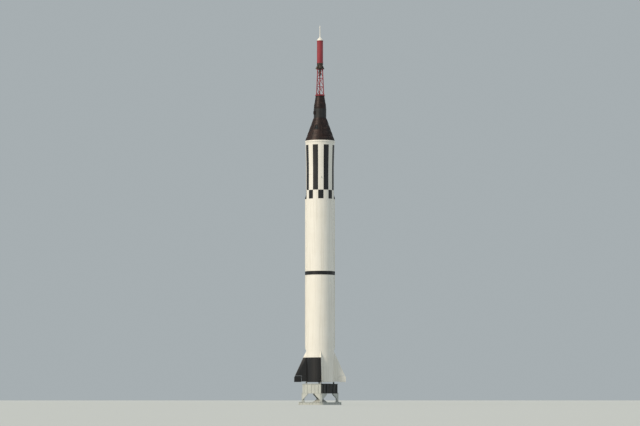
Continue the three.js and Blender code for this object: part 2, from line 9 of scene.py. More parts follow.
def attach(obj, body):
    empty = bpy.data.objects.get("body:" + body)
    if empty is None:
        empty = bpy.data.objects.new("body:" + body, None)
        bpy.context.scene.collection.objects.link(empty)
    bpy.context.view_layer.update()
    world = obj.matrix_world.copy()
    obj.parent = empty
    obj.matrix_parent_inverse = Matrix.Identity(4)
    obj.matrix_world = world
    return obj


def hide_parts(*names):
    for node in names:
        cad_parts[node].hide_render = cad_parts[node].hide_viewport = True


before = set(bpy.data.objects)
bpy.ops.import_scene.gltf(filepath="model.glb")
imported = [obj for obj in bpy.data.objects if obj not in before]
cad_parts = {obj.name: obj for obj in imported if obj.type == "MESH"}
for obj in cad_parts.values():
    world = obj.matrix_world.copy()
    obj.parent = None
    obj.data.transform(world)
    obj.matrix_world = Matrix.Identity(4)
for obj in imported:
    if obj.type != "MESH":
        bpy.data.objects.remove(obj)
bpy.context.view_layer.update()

# Metres, the same frame as the CAD: the front fin points to -Y, heights are above the floor.
sides = {"front": 270, "right": 0, "rear": 90, "left": 180}  # degrees round from +X
quarters, corners = (0, 90, 180, 270), (45, 135, 225, 315)
upright = Matrix.Identity(4)
lyingDown = Matrix.Rotation(math.pi / 2, 4, "Y")  # turns +Z outwards to +X
upwards = Vector((0, 0, 1))
sharpAngle = math.radians(34)  # edges that turn more than this are not shaded round
bodyRadius = 0.89
sink = 0.001  # small parts start this far under the surface that carries them


# Small tools

def toLinear(hexColour):
    channels = [int(hexColour[i:i + 2], 16) / 255 for i in (1, 3, 5)]
    return tuple(c / 12.92 if c < 0.04045 else ((c + 0.055) / 1.055) ** 2.4 for c in channels) + (1.0,)


# One node with its inputs and settings; an input is a value, a socket or a node, which gives its live output
def addNode(tree, kind, inputs=None, **settings):
    family = {"SHADER": "ShaderNode", "GEOMETRY": "GeometryNode"}[tree.type]
    node = tree.nodes.new(kind if kind.startswith(("Node", "Function")) else family + kind)
    for key, value in settings.items():
        setattr(node, key, value)
    for key, value in (inputs or {}).items():
        if isinstance(value, bpy.types.Node):
            value = next(output for output in value.outputs if output.enabled)
        if isinstance(value, bpy.types.NodeSocket):
            tree.links.new(value, node.inputs[key])
        else:
            node.inputs[key].default_value = value
    return node


def turnOf(degrees):
    return Matrix.Rotation(math.radians(degrees), 4, "Z")


def polar(turn, radius, z):
    angle = math.radians(turn)
    return Vector((radius * math.cos(angle), radius * math.sin(angle), z))


# A point on the side that faces a turn: out from the axis, across to its left, and up
def spotAt(turn, out, across, z):
    return turnOf(turn) @ Vector((out, across, z))


# The place of a round part that lies on its side and points outwards
def facingOut(turn, out, z):
    return turnOf(turn) @ Matrix.Translation((out, 0, z)) @ lyingDown


def lerp(a, b, share):
    return a + (b - a) * share


def pick(part, *keys):
    return [part[key] for key in keys]


def steps(a, b, count):
    return [lerp(a, b, i / count) for i in range(count + 1)]


# A point on the curve from a to b that a third point pulls towards itself
def bend(a, pull, b, share):
    return Vector(a) * (1 - share) ** 2 + Vector(pull) * 2 * share * (1 - share) + Vector(b) * share ** 2


# Half an outline with its mirror image, as one loop
def bothSides(half):
    return half + [(a, -b) for a, b in reversed(half) if b]


# Quads between loops of equal length, closed round to the first loop or capped at both ends
def skinLoops(bm, loops, wrap=False, finish=0, caps=True):
    rings = [[bm.verts.new(point) for point in loop] for loop in loops]
    for low, high in zip(rings, rings[1:] + rings[:1] if wrap else rings[1:]):
        for i in range(len(low)):
            j = (i + 1) % len(low)
            bm.faces.new((low[i], low[j], high[j], high[i])).material_index = finish
    if caps and not wrap:
        for ring in (rings[0], rings[-1]):
            if (ring[0].co - ring[1].co).length > 1e-6:
                bm.faces.new(ring).material_index = finish


# Turns (radius, height) points round Z: a closed profile, or one that starts and ends on the axis
def lathe(bm, profile, count=192, finish=0, place=upright):
    loops = [[place @ polar(360 * i / count, r, z) for i in range(count)] for r, z in profile]
    skinLoops(bm, loops, profile[0][0] > 0, finish)


# A block with its edges taken off
def addBlock(bm, size, centre, place=upright, cut=0.004):
    x, y, z = (s / 2 for s in size)
    loops = []
    for level, inset in ((-z, cut), (cut - z, 0), (z - cut, 0), (z, cut)):
        a, b = x - inset, y - inset
        outline = bothSides([(a, b - cut), (a - cut, b), (cut - a, b), (-a, b - cut)])
        loops.append([place @ (Vector(centre) + Vector((u, v, level))) for u, v in outline])
    skinLoops(bm, loops)


# Turns every closed shell's faces outwards, by the sign of its volume
def turnOutward(bm):
    bmesh.ops.recalc_face_normals(bm, faces=bm.faces)
    seen = set()
    for first in bm.faces:
        if first in seen:
            continue
        seen.add(first)
        shell = [first]
        for face in shell:
            for near in [f for edge in face.edges for f in edge.link_faces]:
                if near not in seen:
                    seen.add(near)
                    shell.append(near)
        volume = 0.0
        for face in shell:
            a, *rest = [v.co for v in face.verts]
            volume += sum(a.dot(b.cross(c)) for b, c in zip(rest, rest[1:]))
        if volume < 0:
            bmesh.ops.reverse_faces(bm, faces=shell)


# Cleans a piece, dresses it, says which body carries it, and hides the CAD node it stands for
def finishPiece(name, bm, node, finishNames, body="airframe"):
    bmesh.ops.remove_doubles(bm, verts=bm.verts, dist=2e-5)
    bmesh.ops.dissolve_degenerate(bm, dist=1e-6, edges=bm.edges)
    bmesh.ops.delete(bm, geom=[edge for edge in bm.edges if not edge.link_faces], context="EDGES")
    bmesh.ops.delete(bm, geom=[vert for vert in bm.verts if not vert.link_edges], context="VERTS")
    turnOutward(bm)
    for face in bm.faces:
        face.smooth = True
    for edge in bm.edges:
        edge.smooth = len(edge.link_faces) == 2 and edge.calc_face_angle(0) < sharpAngle
    mesh = bpy.data.meshes.new(name)
    bm.to_mesh(mesh)
    bm.free()
    for finish in finishNames:
        mesh.materials.append(finishes[finish])
    piece = bpy.data.objects.new(name, mesh)
    bpy.context.scene.collection.objects.link(piece)
    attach(piece, body)
    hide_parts(node)


# Geometry Nodes: heads on points, and tubes along edges

def startTree(name, sockets):
    tree = bpy.data.node_groups.new(name, "GeometryNodeTree")
    tree.interface.new_socket("Geometry", in_out="OUTPUT", socket_type="NodeSocketGeometry")
    for label, kind in {"Geometry": "Geometry", **sockets, "Material": "Material"}.items():
        tree.interface.new_socket(label, in_out="INPUT", socket_type="NodeSocket" + kind)
    return tree, addNode(tree, "NodeGroupInput").outputs


def endTree(tree, geometry, given):
    real = addNode(tree, "RealizeInstances", {"Geometry": geometry})
    dressed = addNode(tree, "SetMaterial", {"Geometry": real, "Material": given["Material"]})
    addNode(tree, "NodeGroupOutput", {"Geometry": dressed})


headTree, given = startTree("headsOnPoints", {
    "Head Radius": "Float", "Crown Radius": "Float", "Head Height": "Float", "Sides": "Int"})
outward = addNode(headTree, "InputNamedAttribute", {"Name": "outward"}, data_type="FLOAT_VECTOR")
facing = addNode(headTree, "FunctionNodeAlignRotationToVector", {"Vector": outward}, axis="Z")
head = addNode(headTree, "MeshCone", {
    "Vertices": given["Sides"], "Radius Top": given["Crown Radius"], "Radius Bottom": given["Head Radius"],
    "Depth": given["Head Height"]}, fill_type="NGON")
endTree(headTree, addNode(headTree, "InstanceOnPoints", {
    "Points": given["Geometry"], "Instance": head, "Rotation": facing}), given)

tubeTree, given = startTree("tubesOnEdges", {"Sides": "Int"})
tubeRadius = addNode(tubeTree, "InputNamedAttribute", {"Name": "tubeRadius"}, data_type="FLOAT")
paths = addNode(tubeTree, "MeshToCurve", {"Mesh": given["Geometry"]})
section = addNode(tubeTree, "CurvePrimitiveCircle", {"Resolution": given["Sides"], "Radius": 1.0})
endTree(tubeTree, addNode(tubeTree, "CurveToMesh", {
    "Curve": paths, "Profile Curve": section, "Scale": tubeRadius, "Fill Caps": True}), given)


# Runs a tree on a carrier mesh and puts the result into the piece, in one of the piece's own finishes
def growInto(bm, carrier, tree, finish, values):
    holder = bpy.data.objects.new("carrier", carrier)
    bpy.context.scene.collection.objects.link(holder)
    modifier = holder.modifiers.new("grow", "NODES")
    modifier.node_group = tree
    values["Material"] = finishes["zincPlate"]
    for item in tree.interface.items_tree:
        if item.name in values:
            modifier[item.identifier] = values[item.name]
    made = bpy.data.meshes.new_from_object(holder.evaluated_get(bpy.context.evaluated_depsgraph_get()))
    holder.modifiers.clear()
    bpy.data.objects.remove(holder)
    made.polygons.foreach_set("material_index", [finish] * len(made.polygons))
    bm.from_mesh(made)
    bpy.data.meshes.remove(made)
    bpy.data.meshes.remove(carrier)


# Radius and height of a head, its sides, and which of the piece's finishes it has
fasteners = {
    "anchorBolt": (0.021, 0.022, 6, 1), "plateStud": (0.018, 0.016, 6, 1), "legBolt": (0.014, 0.018, 6, 1),
    "girderRivet": (0.009, 0.006, 8, 1), "bearingBolt": (0.01, 0.01, 6, 2),
    "skinRivet": (0.0065, 0.0035, 8, 0), "bladeRivet": (0.006, 0.003, 8, 0),
    "collarStud": (0.006, 0.006, 6, 1), "ringBolt": (0.008, 0.006, 6, 1),
    "panelScrew": (0.008, 0.004, 8, 0), "sectionRivet": (0.007, 0.0035, 8, 0),
    "jointBolt": (0.013, 0.014, 6, 0), "ductScrew": (0.005, 0.004, 8, 0),
    "shingleScrew": (0.006, 0.0035, 8, 0), "hatchBolt": (0.009, 0.006, 6, 1),
    "sensorScrew": (0.006, 0.004, 8, 0), "clampBolt": (0.007, 0.006, 6, 1),
    "towerBolt": (0.008, 0.008, 6, 1), "nozzleBolt": (0.008, 0.007, 6, 1)}
crownShare = 0.8  # a head's crown is this much of its radius


# Fastener heads on (point, outward) pairs
def addHeads(bm, spots, kind):
    radius, height, count, finish = fasteners[kind]
    carrier = bpy.data.meshes.new("spots")
    carrier.from_pydata([point for point, _ in spots], [], [])
    attribute = carrier.attributes.new("outward", "FLOAT_VECTOR", "POINT")
    attribute.data.foreach_set("vector", [c for _, way in spots for c in way])
    growInto(bm, carrier, headTree, finish, {
        "Head Radius": radius, "Crown Radius": radius * crownShare, "Head Height": height, "Sides": count})


# Tubes, beads and wires: paths are (points, radius or list of radii)
def addTubes(bm, paths, count=10, finish=0):
    points, edges, radii = [], [], []
    for path, radius in paths:
        edges += [(len(points) + i, len(points) + i + 1) for i in range(len(path) - 1)]
        points += path
        radii += radius if isinstance(radius, list) else [radius] * len(path)
    carrier = bpy.data.meshes.new("edges")
    carrier.from_pydata(points, edges, [])
    carrier.attributes.new("tubeRadius", "FLOAT", "POINT").data.foreach_set("value", radii)
    growInto(bm, carrier, tubeTree, finish, {"Sides": count})


# Radii and turns are given as numbers, or as functions of the height
def valueAt(given, z):
    return given(z) if callable(given) else given


# The same skin, further out
def raised(skin, rise):
    return lambda z: valueAt(skin, z) + rise


def skinSpot(skin, turn, z):
    slope = (valueAt(skin, z + 0.004) - valueAt(skin, z - 0.004)) / 0.008
    way = (polar(turn, 1, 0) - Vector((0, 0, slope))).normalized()
    return polar(turn, valueAt(skin, z), z) - way * sink, way


def ringSpots(skin, heights, count, start=0.0):
    return [skinSpot(skin, start + 360 * i / count, z) for z in heights for i in range(count)]


def rowSpots(skin, turn, low, high, count):
    return [skinSpot(skin, turn, z) for z in steps(low, high, count - 1)]


# The spots round the edge of a panel from turn low to high and height low to high
def frameSpots(skin, turns, heights, pitch):
    radius = valueAt(skin, sum(heights) / 2)
    across = max(2, round(math.radians(turns[1] - turns[0]) * radius / pitch))
    up = max(2, round((heights[1] - heights[0]) / pitch))
    level = [skinSpot(skin, turn, z) for turn in steps(*turns, across) for z in heights]
    return level + [skinSpot(skin, turn, z) for z in steps(*heights, up)[1:-1] for turn in turns]


# A bead up a skin that fades out at both ends
def beadUp(skin, turn, low, high, thick, lift=-0.001):
    path = [polar(valueAt(turn, z), skin(z) + lift, z) for z in (low, low + 0.015, high - 0.015, high)]
    return path, [0.002, thick, thick, 0.002]


# A round skin with steps in it. A feature is (z low, z high, offset), after its turns low and high where it
# doesn't go all round; the last one wins. inner is the inside profile from the top down; without it both ends
# are closed flat.
def reliefShell(bm, skin, heights, features, inner=None, count=192, innerFinish=0):
    sliver = 0.0006  # width of a step's slope
    features = [(0, 360, *feature)[-5:] for feature in features]
    turns = {360 * i / count for i in range(count)}
    levels = {round(z, 5) for z in heights}
    for low, high, bottom, top, _ in features:
        if high - low < 360:
            step = math.degrees(sliver / valueAt(skin, bottom))
            turns |= {t % 360 for t in (low - step, low, high, high + step)}
        levels |= {round(z, 5) for z in (bottom - sliver, bottom, top, top + sliver)
                   if heights[0] <= z <= heights[-1]}

    def offsetAt(turn, z):
        offset = 0.0
        for low, high, bottom, top, step in features:
            if bottom - 1e-7 <= z <= top + 1e-7 and (turn - low + 1e-6) % 360 <= high - low + 2e-6:
                offset = step
        return offset

    turns = sorted({round(t, 5) for t in turns})
    loops = [[polar(t, valueAt(skin, z) + offsetAt(t, z), z) for t in turns] for z in sorted(levels)]
    skinLoops(bm, loops, caps=not inner)
    if inner:
        lining = [[polar(t, r, z) for t in turns] for r, z in inner]
        skinLoops(bm, [loops[-1]] + lining + [loops[0]], finish=innerFinish, caps=False)


# The four thin lines of a panel's outline, as grooves
def outlineGrooves(turns, heights, radius, width=0.006, depth=0.004):
    half = width / 2
    step = math.degrees(half / radius)
    return [(t - step, t + step, heights[0] - half, heights[1] + half, -depth) for t in turns] + \
           [(turns[0] - step, turns[1] + step, z - half, z + half, -depth) for z in heights]


# A curved panel: turnsAt(z, radius) gives its side edges; its outer edges are taken off
def addPanel(bm, turnsAt, skin, thick, heights, columns=24, rows=12, edge=0.003):
    low, high = heights
    loops = []
    for z in [low, low + edge] + steps(low, high, rows)[1:-1] + [high - edge, high]:
        outer, inner = valueAt(skin, z), valueAt(skin, z) - thick
        (a, b), (c, d) = turnsAt(z, outer), turnsAt(z, inner)
        step = math.degrees(edge / outer)
        turns = [a, a + step] + steps(a, b, columns)[1:-1] + [b - step, b]
        drop = [edge if z in (low, high) or t in (a, b) else 0 for t in turns]
        loops.append([polar(t, outer - down, z) for t, down in zip(turns, drop)]
                     + [polar(t, inner, z) for t in steps(d, c, columns)])
    skinLoops(bm, loops)


# Finishes

finishes = {}


# Gives addNode for the new finish's own tree, and where on the object a point is, in metres
def startFinish(name):
    material = bpy.data.materials.new(name)
    material.use_nodes = True
    material.node_tree.nodes.clear()
    finishes[name] = material
    add = functools.partial(addNode, material.node_tree)
    return add, add("TexCoord").outputs["Object"]


def endFinish(add, inputs):
    add("OutputMaterial", {"Surface": add("BsdfPrincipled", inputs)})


# Sprayed satin enamel on aluminium skin: chalky warm white and soft black fields with a faint sheen,
# thin rain streaks down the sides, and a slightly wavy skin that breaks up the highlights.
paint = {"stripes": (13.69, 16.59), "chequers": (13.13, 13.69), "quartersTop": 3.01,
         "ring": 8.39, "ringHalf": 0.12, "white": "#f2f0e9", "faded": "#e3e0d6", "streak": "#b9b4a6",
         "black": "#101114", "greyed": "#2b2c2e"}
add, where = startFinish("bodyPaint")
spot = add("SeparateXYZ", {0: where}).outputs
eighth = add("Math", {0: spot["Y"], 1: spot["X"]}, operation="ARCTAN2")
eighth = add("Math", {0: eighth, 1: 4 / math.pi}, operation="MULTIPLY")  # 45 degrees each
fields = []
for (low, high), shift in ((paint["stripes"], 0.0), (paint["chequers"], 0.5)):  # shift is in eighths
    turned = add("Math", {0: eighth, 1: 8 + shift}, operation="ADD")
    turned = add("Math", {0: turned}, operation="FRACT")
    turned = add("Math", {0: turned, 1: 0.5, 2: 0.25}, operation="COMPARE")
    level = add("Math", {0: spot["Z"], 1: (low + high) / 2, 2: (high - low) / 2}, operation="COMPARE")
    fields.append(add("Math", {0: turned, 1: level}, operation="MULTIPLY"))
corner = add("Math", {0: spot["X"], 1: spot["Y"]}, operation="MULTIPLY")
corner = add("Math", {0: corner, 1: 0.0}, operation="GREATER_THAN")
below = add("Math", {0: spot["Z"], 1: paint["quartersTop"]}, operation="LESS_THAN")
fields.append(add("Math", {0: corner, 1: below}, operation="MULTIPLY"))
black = add("Math", {0: spot["Z"], 1: paint["ring"], 2: paint["ringHalf"]}, operation="COMPARE")
for field in fields:
    black = add("Math", {0: black, 1: field}, operation="MAXIMUM")
cloud = add("TexNoise", {"Vector": where, "Scale": 0.9, "Detail": 4.0})  # fading, 1.1 m across
drawn = add("Mapping", {"Vector": where, "Scale": (11, 11, 0.35)})  # streaks 90 mm wide, 3 m long
streak = add("TexNoise", {"Vector": drawn, "Scale": 1.0, "Detail": 5.0, "Roughness": 0.6})
streak = add("MapRange", {"Value": streak, "From Min": 0.5, "From Max": 0.78, "To Max": 0.4})
white = add("Mix", {0: cloud, 6: toLinear(paint["white"]), 7: toLinear(paint["faded"])}, data_type="RGBA")
white = add("Mix", {0: streak, 6: white, 7: toLinear(paint["streak"])}, data_type="RGBA")
dark = add("Mix", {0: streak, 6: toLinear(paint["black"]), 7: toLinear(paint["greyed"])}, data_type="RGBA")
wave = add("TexNoise", {"Vector": where, "Scale": 2.2, "Detail": 1.0})  # skin between frames, 450 mm
wave = add("Bump", {"Height": wave, "Strength": 0.35, "Distance": 0.012})
# orange peel of 11 mm: coarser than real, so that it shows
peel = add("TexNoise", {"Vector": where, "Scale": 90.0, "Detail": 1.0})
endFinish(add, {
    "Base Color": add("Mix", {0: black, 6: white, 7: dark}, data_type="RGBA"),
    "Roughness": add("MapRange", {"Value": cloud, "To Min": 0.34, "To Max": 0.52}),
    "Normal": add("Bump", {"Height": peel, "Strength": 0.12, "Distance": 0.0006, "Normal": wave})})

# Plain paints: brushed or sprayed enamel on steel that has stood outdoors. The eye sees one colour that is
# bleached in clouds, a little dirt that has run down, and rust specks on the tower and the stand.
# name: fresh, bleached, dirt, share of rust specks, colour of alternate quarters, roughness low and high
for name, (fresh, bleached, dirt, specks, quarter, *rough) in {
        "redEnamel": ("#8e2230", "#9d3f45", "#4d1a20", 0.10, None, 0.38, 0.55),
        "standEnamel": ("#b4b9b5", "#c5c9c4", "#7d7b70", 0.16, None, 0.42, 0.62),
        "tableGreyAndNearBlack": ("#b4b9b5", "#c5c9c4", "#7d7b70", 0.16, "#181a1c", 0.42, 0.62)}.items():
    add, where = startFinish(name)
    cloud = add("TexNoise", {"Vector": where, "Scale": 2.2, "Detail": 4.0})  # 450 mm
    run = add("Mapping", {"Vector": where, "Scale": (16, 16, 1.3)})  # runs 60 mm wide
    run = add("TexNoise", {"Vector": run, "Scale": 1.0, "Detail": 5.0, "Roughness": 0.65})
    run = add("MapRange", {"Value": run, "From Min": 0.5, "From Max": 0.8, "To Max": 0.6})
    speck = add("TexNoise", {"Vector": where, "Scale": 60.0, "Detail": 6.0, "Roughness": 0.75})  # 16 mm
    speck = add("MapRange", {"Value": speck, "From Min": 0.72 - specks / 4, "From Max": 0.78})
    colour = add("Mix", {0: cloud, 6: toLinear(fresh), 7: toLinear(bleached)}, data_type="RGBA")
    # the table is near black on the two quarters where x times y is below 0, the right front and the left
    # rear faces
    if quarter:
        spot = add("SeparateXYZ", {0: where}).outputs
        corner = add("Math", {0: spot["X"], 1: spot["Y"]}, operation="MULTIPLY")
        corner = add("Math", {0: corner, 1: 0.0}, operation="LESS_THAN")
        colour = add("Mix", {0: corner, 6: colour, 7: toLinear(quarter)}, data_type="RGBA")
    colour = add("Mix", {0: run, 6: colour, 7: toLinear(dirt)}, data_type="RGBA")
    brush = add("TexNoise", {"Vector": where, "Scale": 45.0, "Detail": 3.0})  # paint texture, 22 mm
    endFinish(add, {
        "Base Color": add("Mix", {0: speck, 6: colour, 7: toLinear("#5b3523")}, data_type="RGBA"),
        "Roughness": add("MapRange", {"Value": run, "To Min": rough[0], "To Max": rough[1]}),
        "Normal": add("Bump", {"Height": brush, "Strength": 0.2, "Distance": 0.0012})})

# Bare metals, graphite and resin. shingleAlloy: nickel alloy sheet with a dull black oxide coat, each patch
# a little warmer or bluer. beryllium: smoother and greyer shingles. nozzleSteel: soot-dark steel. graphite:
# matt machined blocks. zincPlate: bolt heads. blockSteel: grey castings. resin: brown glass-fibre laminate.
# name: two tones, metallic, roughness low and high, scale of the tones and of the grain in 1/m, bump
for name, (first, second, metallic, smooth, rough, toneScale, grainScale, bump) in {
        "shingleAlloy": ("#1e1a1b", "#372825", 0.55, 0.38, 0.58, 3.1, 140.0, 0.2),
        "beryllium": ("#2b2b2e", "#3a3937", 0.45, 0.34, 0.5, 4.0, 160.0, 0.16),
        "nozzleSteel": ("#3b3531", "#5a4e46", 0.8, 0.36, 0.6, 7.0, 110.0, 0.3),
        "graphite": ("#2a2a2c", "#37373a", 0.0, 0.62, 0.82, 9.0, 220.0, 0.4),
        "zincPlate": ("#8f9496", "#6f7170", 0.8, 0.35, 0.6, 14.0, 240.0, 0.2),
        "blockSteel": ("#77746e", "#5d5952", 0.75, 0.42, 0.65, 3.0, 90.0, 0.5),
        "resin": ("#5b4a39", "#463a2f", 0.0, 0.5, 0.7, 2.5, 130.0, 0.4)}.items():
    add, where = startFinish(name)
    tone = add("TexNoise", {"Vector": where, "Scale": toneScale, "Detail": 5.0, "Roughness": 0.62})
    tone = add("MapRange", {"Value": tone, "From Min": 0.35, "From Max": 0.65})
    grain = add("TexNoise", {"Vector": where, "Scale": grainScale, "Detail": 2.0})
    endFinish(add, {
        "Base Color": add("Mix", {0: tone, 6: toLinear(first), 7: toLinear(second)}, data_type="RGBA"),
        "Metallic": metallic,
        "Roughness": add("MapRange", {"Value": grain, "To Min": smooth, "To Max": rough}),
        "Normal": add("Bump", {"Height": grain, "Strength": bump, "Distance": 0.0015})})

# Welded stainless steel that has run hot: straw, brown and blue bands round the bell, fine turning marks.
heat = {"low": 1.8, "high": 2.6, "drift": 0.35, "tints": (
    (0.15, "#6f6a66"), (0.35, "#8d7a5d"), (0.55, "#6e5142"), (0.72, "#4a5068"), (0.98, "#8c8983"))}
add, where = startFinish("heatTint")
spot = add("SeparateXYZ", {0: where}).outputs
drift = add("TexNoise", {"Vector": where, "Scale": 5.0, "Detail": 3.0})
height = add("MapRange", {"Value": spot["Z"], "From Min": heat["low"], "From Max": heat["high"]})
height = add("Math", {0: drift, 1: heat["drift"], 2: height}, operation="MULTIPLY_ADD")
ramp = add("ValToRGB", {0: height})
for at, colour in heat["tints"]:
    ramp.color_ramp.elements.new(at).color = toLinear(colour)
for end in (0, -1):  # the ramp's own black and white
    ramp.color_ramp.elements.remove(ramp.color_ramp.elements[end])
# turning marks of 14 mm: coarser than real, so that they show
marks = add("TexWave", {"Vector": where, "Scale": 22.0, "Distortion": 0.4}, bands_direction="Z")
endFinish(add, {
    "Base Color": ramp, "Metallic": 0.95,
    "Roughness": add("MapRange", {"Value": drift, "To Min": 0.28, "To Max": 0.5}),
    "Normal": add("Bump", {"Height": marks, "Strength": 0.15, "Distance": 0.001})})

# Thick tempered glass, very smooth, with a trace of dust. Its near-black colour is painted shade: the unlit
# cabin seen through the glass.
add, where = startFinish("glassWithPaintedShade")
dust = add("TexNoise", {"Vector": where, "Scale": 26.0, "Detail": 5.0})  # 40 mm
endFinish(add, {
    "Base Color": add("Mix", {0: dust, 6: toLinear("#0c1013"), 7: toLinear("#1d2326")}, data_type="RGBA"),
    "Roughness": add("MapRange", {"Value": dust, "To Min": 0.03, "To Max": 0.12}), "IOR": 1.5})
print("finishes:", len(finishes))


# Launch stand

# A square with its corners on the axes, each cut off square, pulled in by an inset
def cutSquare(corner, cut, z, inset=0.0):
    corner, cut = corner - inset * math.sqrt(2), cut - inset
    half = corner - cut
    return [spotAt(turn, cut, y, z) for turn in quarters for y in (-half, half)]


# Stiffeners in the hollow of a beam, on the four faces of the base frame or the table
def addStiffeners(bm, part):
    low, high, lip, web = pick(part, "low", "high", "flange", "web")
    for turn in corners:
        for along in part["stiffeners"]:
            addBlock(bm, (web, part["stiffener"], high - low - 2 * lip),
                     (part["face"] - web / 2 - sink, along, (low + high) / 2), turnOf(turn), 0.002)


# Base frame: four channel beams, anchored down near its corners; face is from the middle to an outer side
base = {"corner": 1.48, "cut": 1.39, "face": 1.48 / math.sqrt(2), "inner": 1.2254, "innerCut": 0.96, "low": 0,
        "high": 0.16, "flange": 0.018, "web": 0.03, "stiffener": 0.014,
        "stiffeners": (-0.84, -0.56, -0.28, 0, 0.28, 0.56, 0.84), "anchors": (-0.83, -0.73, 0.73, 0.83),
        "anchorsIn": (0.045, 0.135)}
bm = bmesh.new()
low, high, lip, web = pick(base, "low", "high", "flange", "web")
beam = [(0, low), (0, low + lip), (web, low + lip), (web, high - lip), (0, high - lip), (0, high)]
loops = [cutSquare(base["corner"], base["cut"], z, inset) for inset, z in beam]
loops += [cutSquare(base["inner"], base["innerCut"], z, -inset) for inset, z in reversed(beam)]
skinLoops(bm, loops, wrap=True)
addStiffeners(bm, base)
addHeads(bm, [(spotAt(turn, base["face"] - x, y, high - sink), upwards)
              for turn in corners for y in base["anchors"] for x in base["anchorsIn"]], "anchorBolt")
finishPiece("standBase", bm, "stand_base_frame", ["standEnamel", "zincPlate"])

# Flame deflector: a plate with a hollow-sided pyramid, capped by a bar along each ridge; its seams are at
# shares of the way up
deflector = {"foot": 0.9, "apex": 0.64, "plate": 0.03, "pull": 0.36, "steps": 28, "seat": 0.0006,
             "ridge": 0.013, "seams": (0.3, 0.55, 0.78), "seam": 0.005, "studsOut": 0.8,
             "studs": (-0.66, -0.33, 0, 0.33, 0.66)}


def deflectorAt(share):
    foot, plate = deflector["foot"], deflector["plate"]
    return bend((foot, plate - 0.005), (foot * deflector["pull"], plate * 3), (0, deflector["apex"]), share)


bm = bmesh.new()
skinLoops(bm, [cutSquare(base["inner"] - deflector["seat"], base["innerCut"] - deflector["seat"] / 2, z)
               for z in (0, deflector["plate"])])
curve = [deflectorAt(share) for share in steps(0, 1, deflector["steps"])]
skinLoops(bm, [[polar(t, r, z) for t in quarters] for r, z in curve])
bars = [([polar(t, r, z) for r, z in curve], deflector["ridge"]) for t in quarters]
for share in deflector["seams"]:  # welds across the four faces
    r, z = deflectorAt(share)
    bars.append(([polar(t, r, z) for t in (*quarters, 360)], deflector["seam"]))
addTubes(bm, bars, 8)
addHeads(bm, [(spotAt(turn, deflector["studsOut"], y, deflector["plate"] - sink), upwards)
              for turn in corners for y in deflector["studs"]], "plateStud")
finishPiece("flameDeflector", bm, "flame_deflector", ["standEnamel", "zincPlate"])

# Table: a deep ring of plate girders round the exhaust hole, with four screw posts
table = {"corner": 1.22, "cut": 1.15, "face": 1.22 / math.sqrt(2), "low": 0.72, "high": 1.33, "flange": 0.028,
         "web": 0.03, "stiffener": 0.016, "stiffeners": (-0.62, -0.31, 0, 0.31, 0.62),
         "rivets": (-0.72, 0.72, 12), "hole": 0.69, "collar": 0.05, "collarRise": 0.016, "post": 0.868,
         "postTop": 1.4497}


def tableEdge(turn, inset):
    reach = [(table["face"] - inset, 45), (table["cut"] - inset, 0)]
    return min(d / max(1e-6, math.cos(math.radians((turn - n + 45) % 90 - 45))) for d, n in reach)


bm = bmesh.new()
tip = math.degrees(math.atan(table["corner"] / table["cut"] - 1))
turns = sorted({360 * i / 160 for i in range(160)} | {(t + d) % 360 for t in quarters for d in (-tip, tip)})
low, high, lip, web = pick(table, "low", "high", "flange", "web")
girder = [(0, low), (0, low + lip), (web, low + lip), (web, high - lip), (0, high - lip), (0, high)]
rise = high + table["collarRise"]
bore = [(table["collar"], high), (table["collar"], rise), (0, rise), (0, low)]
loops = [[polar(t, tableEdge(t, inset), z) for t in turns] for inset, z in girder]
loops += [[polar(t, table["hole"] + outer, z) for t in turns] for outer, z in bore]
skinLoops(bm, loops, wrap=True)
addStiffeners(bm, table)
addHeads(bm, [(spotAt(turn, table["face"] - sink, along, z), polar(turn, 1, 0)) for turn in corners
              for z in (low + lip / 2, high - lip / 2) for along in steps(*table["rivets"])], "girderRivet")

# The four screw posts: radius and height above the table of the screw, its nut and its thread
rise = table["postTop"] - high
screw = [(0, 0.02), (0.048, 0.02), (0.04, 0.05), (0.03, 0.05), (0.03, rise - 0.02), (0, rise - 0.02)]
nut = [(0, 0.048), (0.05, 0.048), (0.05, 0.074), (0, 0.074)]
thread = [(0.0345 if i % 2 else 0.029, 0.072 + 0.0035 * i) for i in range(8)]
thread = [(0, thread[0][1])] + thread + [(0, thread[-1][1])]
for turn in sides.values():
    place = turnOf(turn) @ Matrix.Translation((table["post"], 0, high))
    addBlock(bm, (0.11, 0.11, 0.03), (0, 0, 0.014), place)  # foot plate
    for profile, count in ((screw, 32), (nut, 6), (thread, 32)):
        lathe(bm, profile, count, 1, place)
    addBlock(bm, (0.11, 0.11, 0.022), (0, 0, rise - 0.011), place, 0.003)  # pad under the tail
finishPiece("standTable", bm, "stand_table", ["tableGreyAndNearBlack", "zincPlate"])

# Legs: a box column, plates at its ends, and a flanged gusset under each face of the table
leg = {"inner": 1.0, "outer": 1.17, "width": 0.15, "bottom": 0.1603, "top": 0.7197, "plate": 0.022,
       "plateSize": (0.25, 0.2), "bolts": ((-0.106, 0.1), (-0.06, 0, 0.06)), "root": 0.08, "foot": 0.15,
       "reach": 0.56, "low": 0.33, "lip": 0.06, "thick": 0.04, "web": 0.012, "rim": 0.014}


# A point on a gusset: along a table's face from its corner, and in from that face
def gussetAt(turn, way, along, inward, z):
    out, across = table["corner"] - (along + inward) * math.sqrt(0.5), (along - inward) * math.sqrt(0.5)
    return spotAt(turn, out, way * across, z)


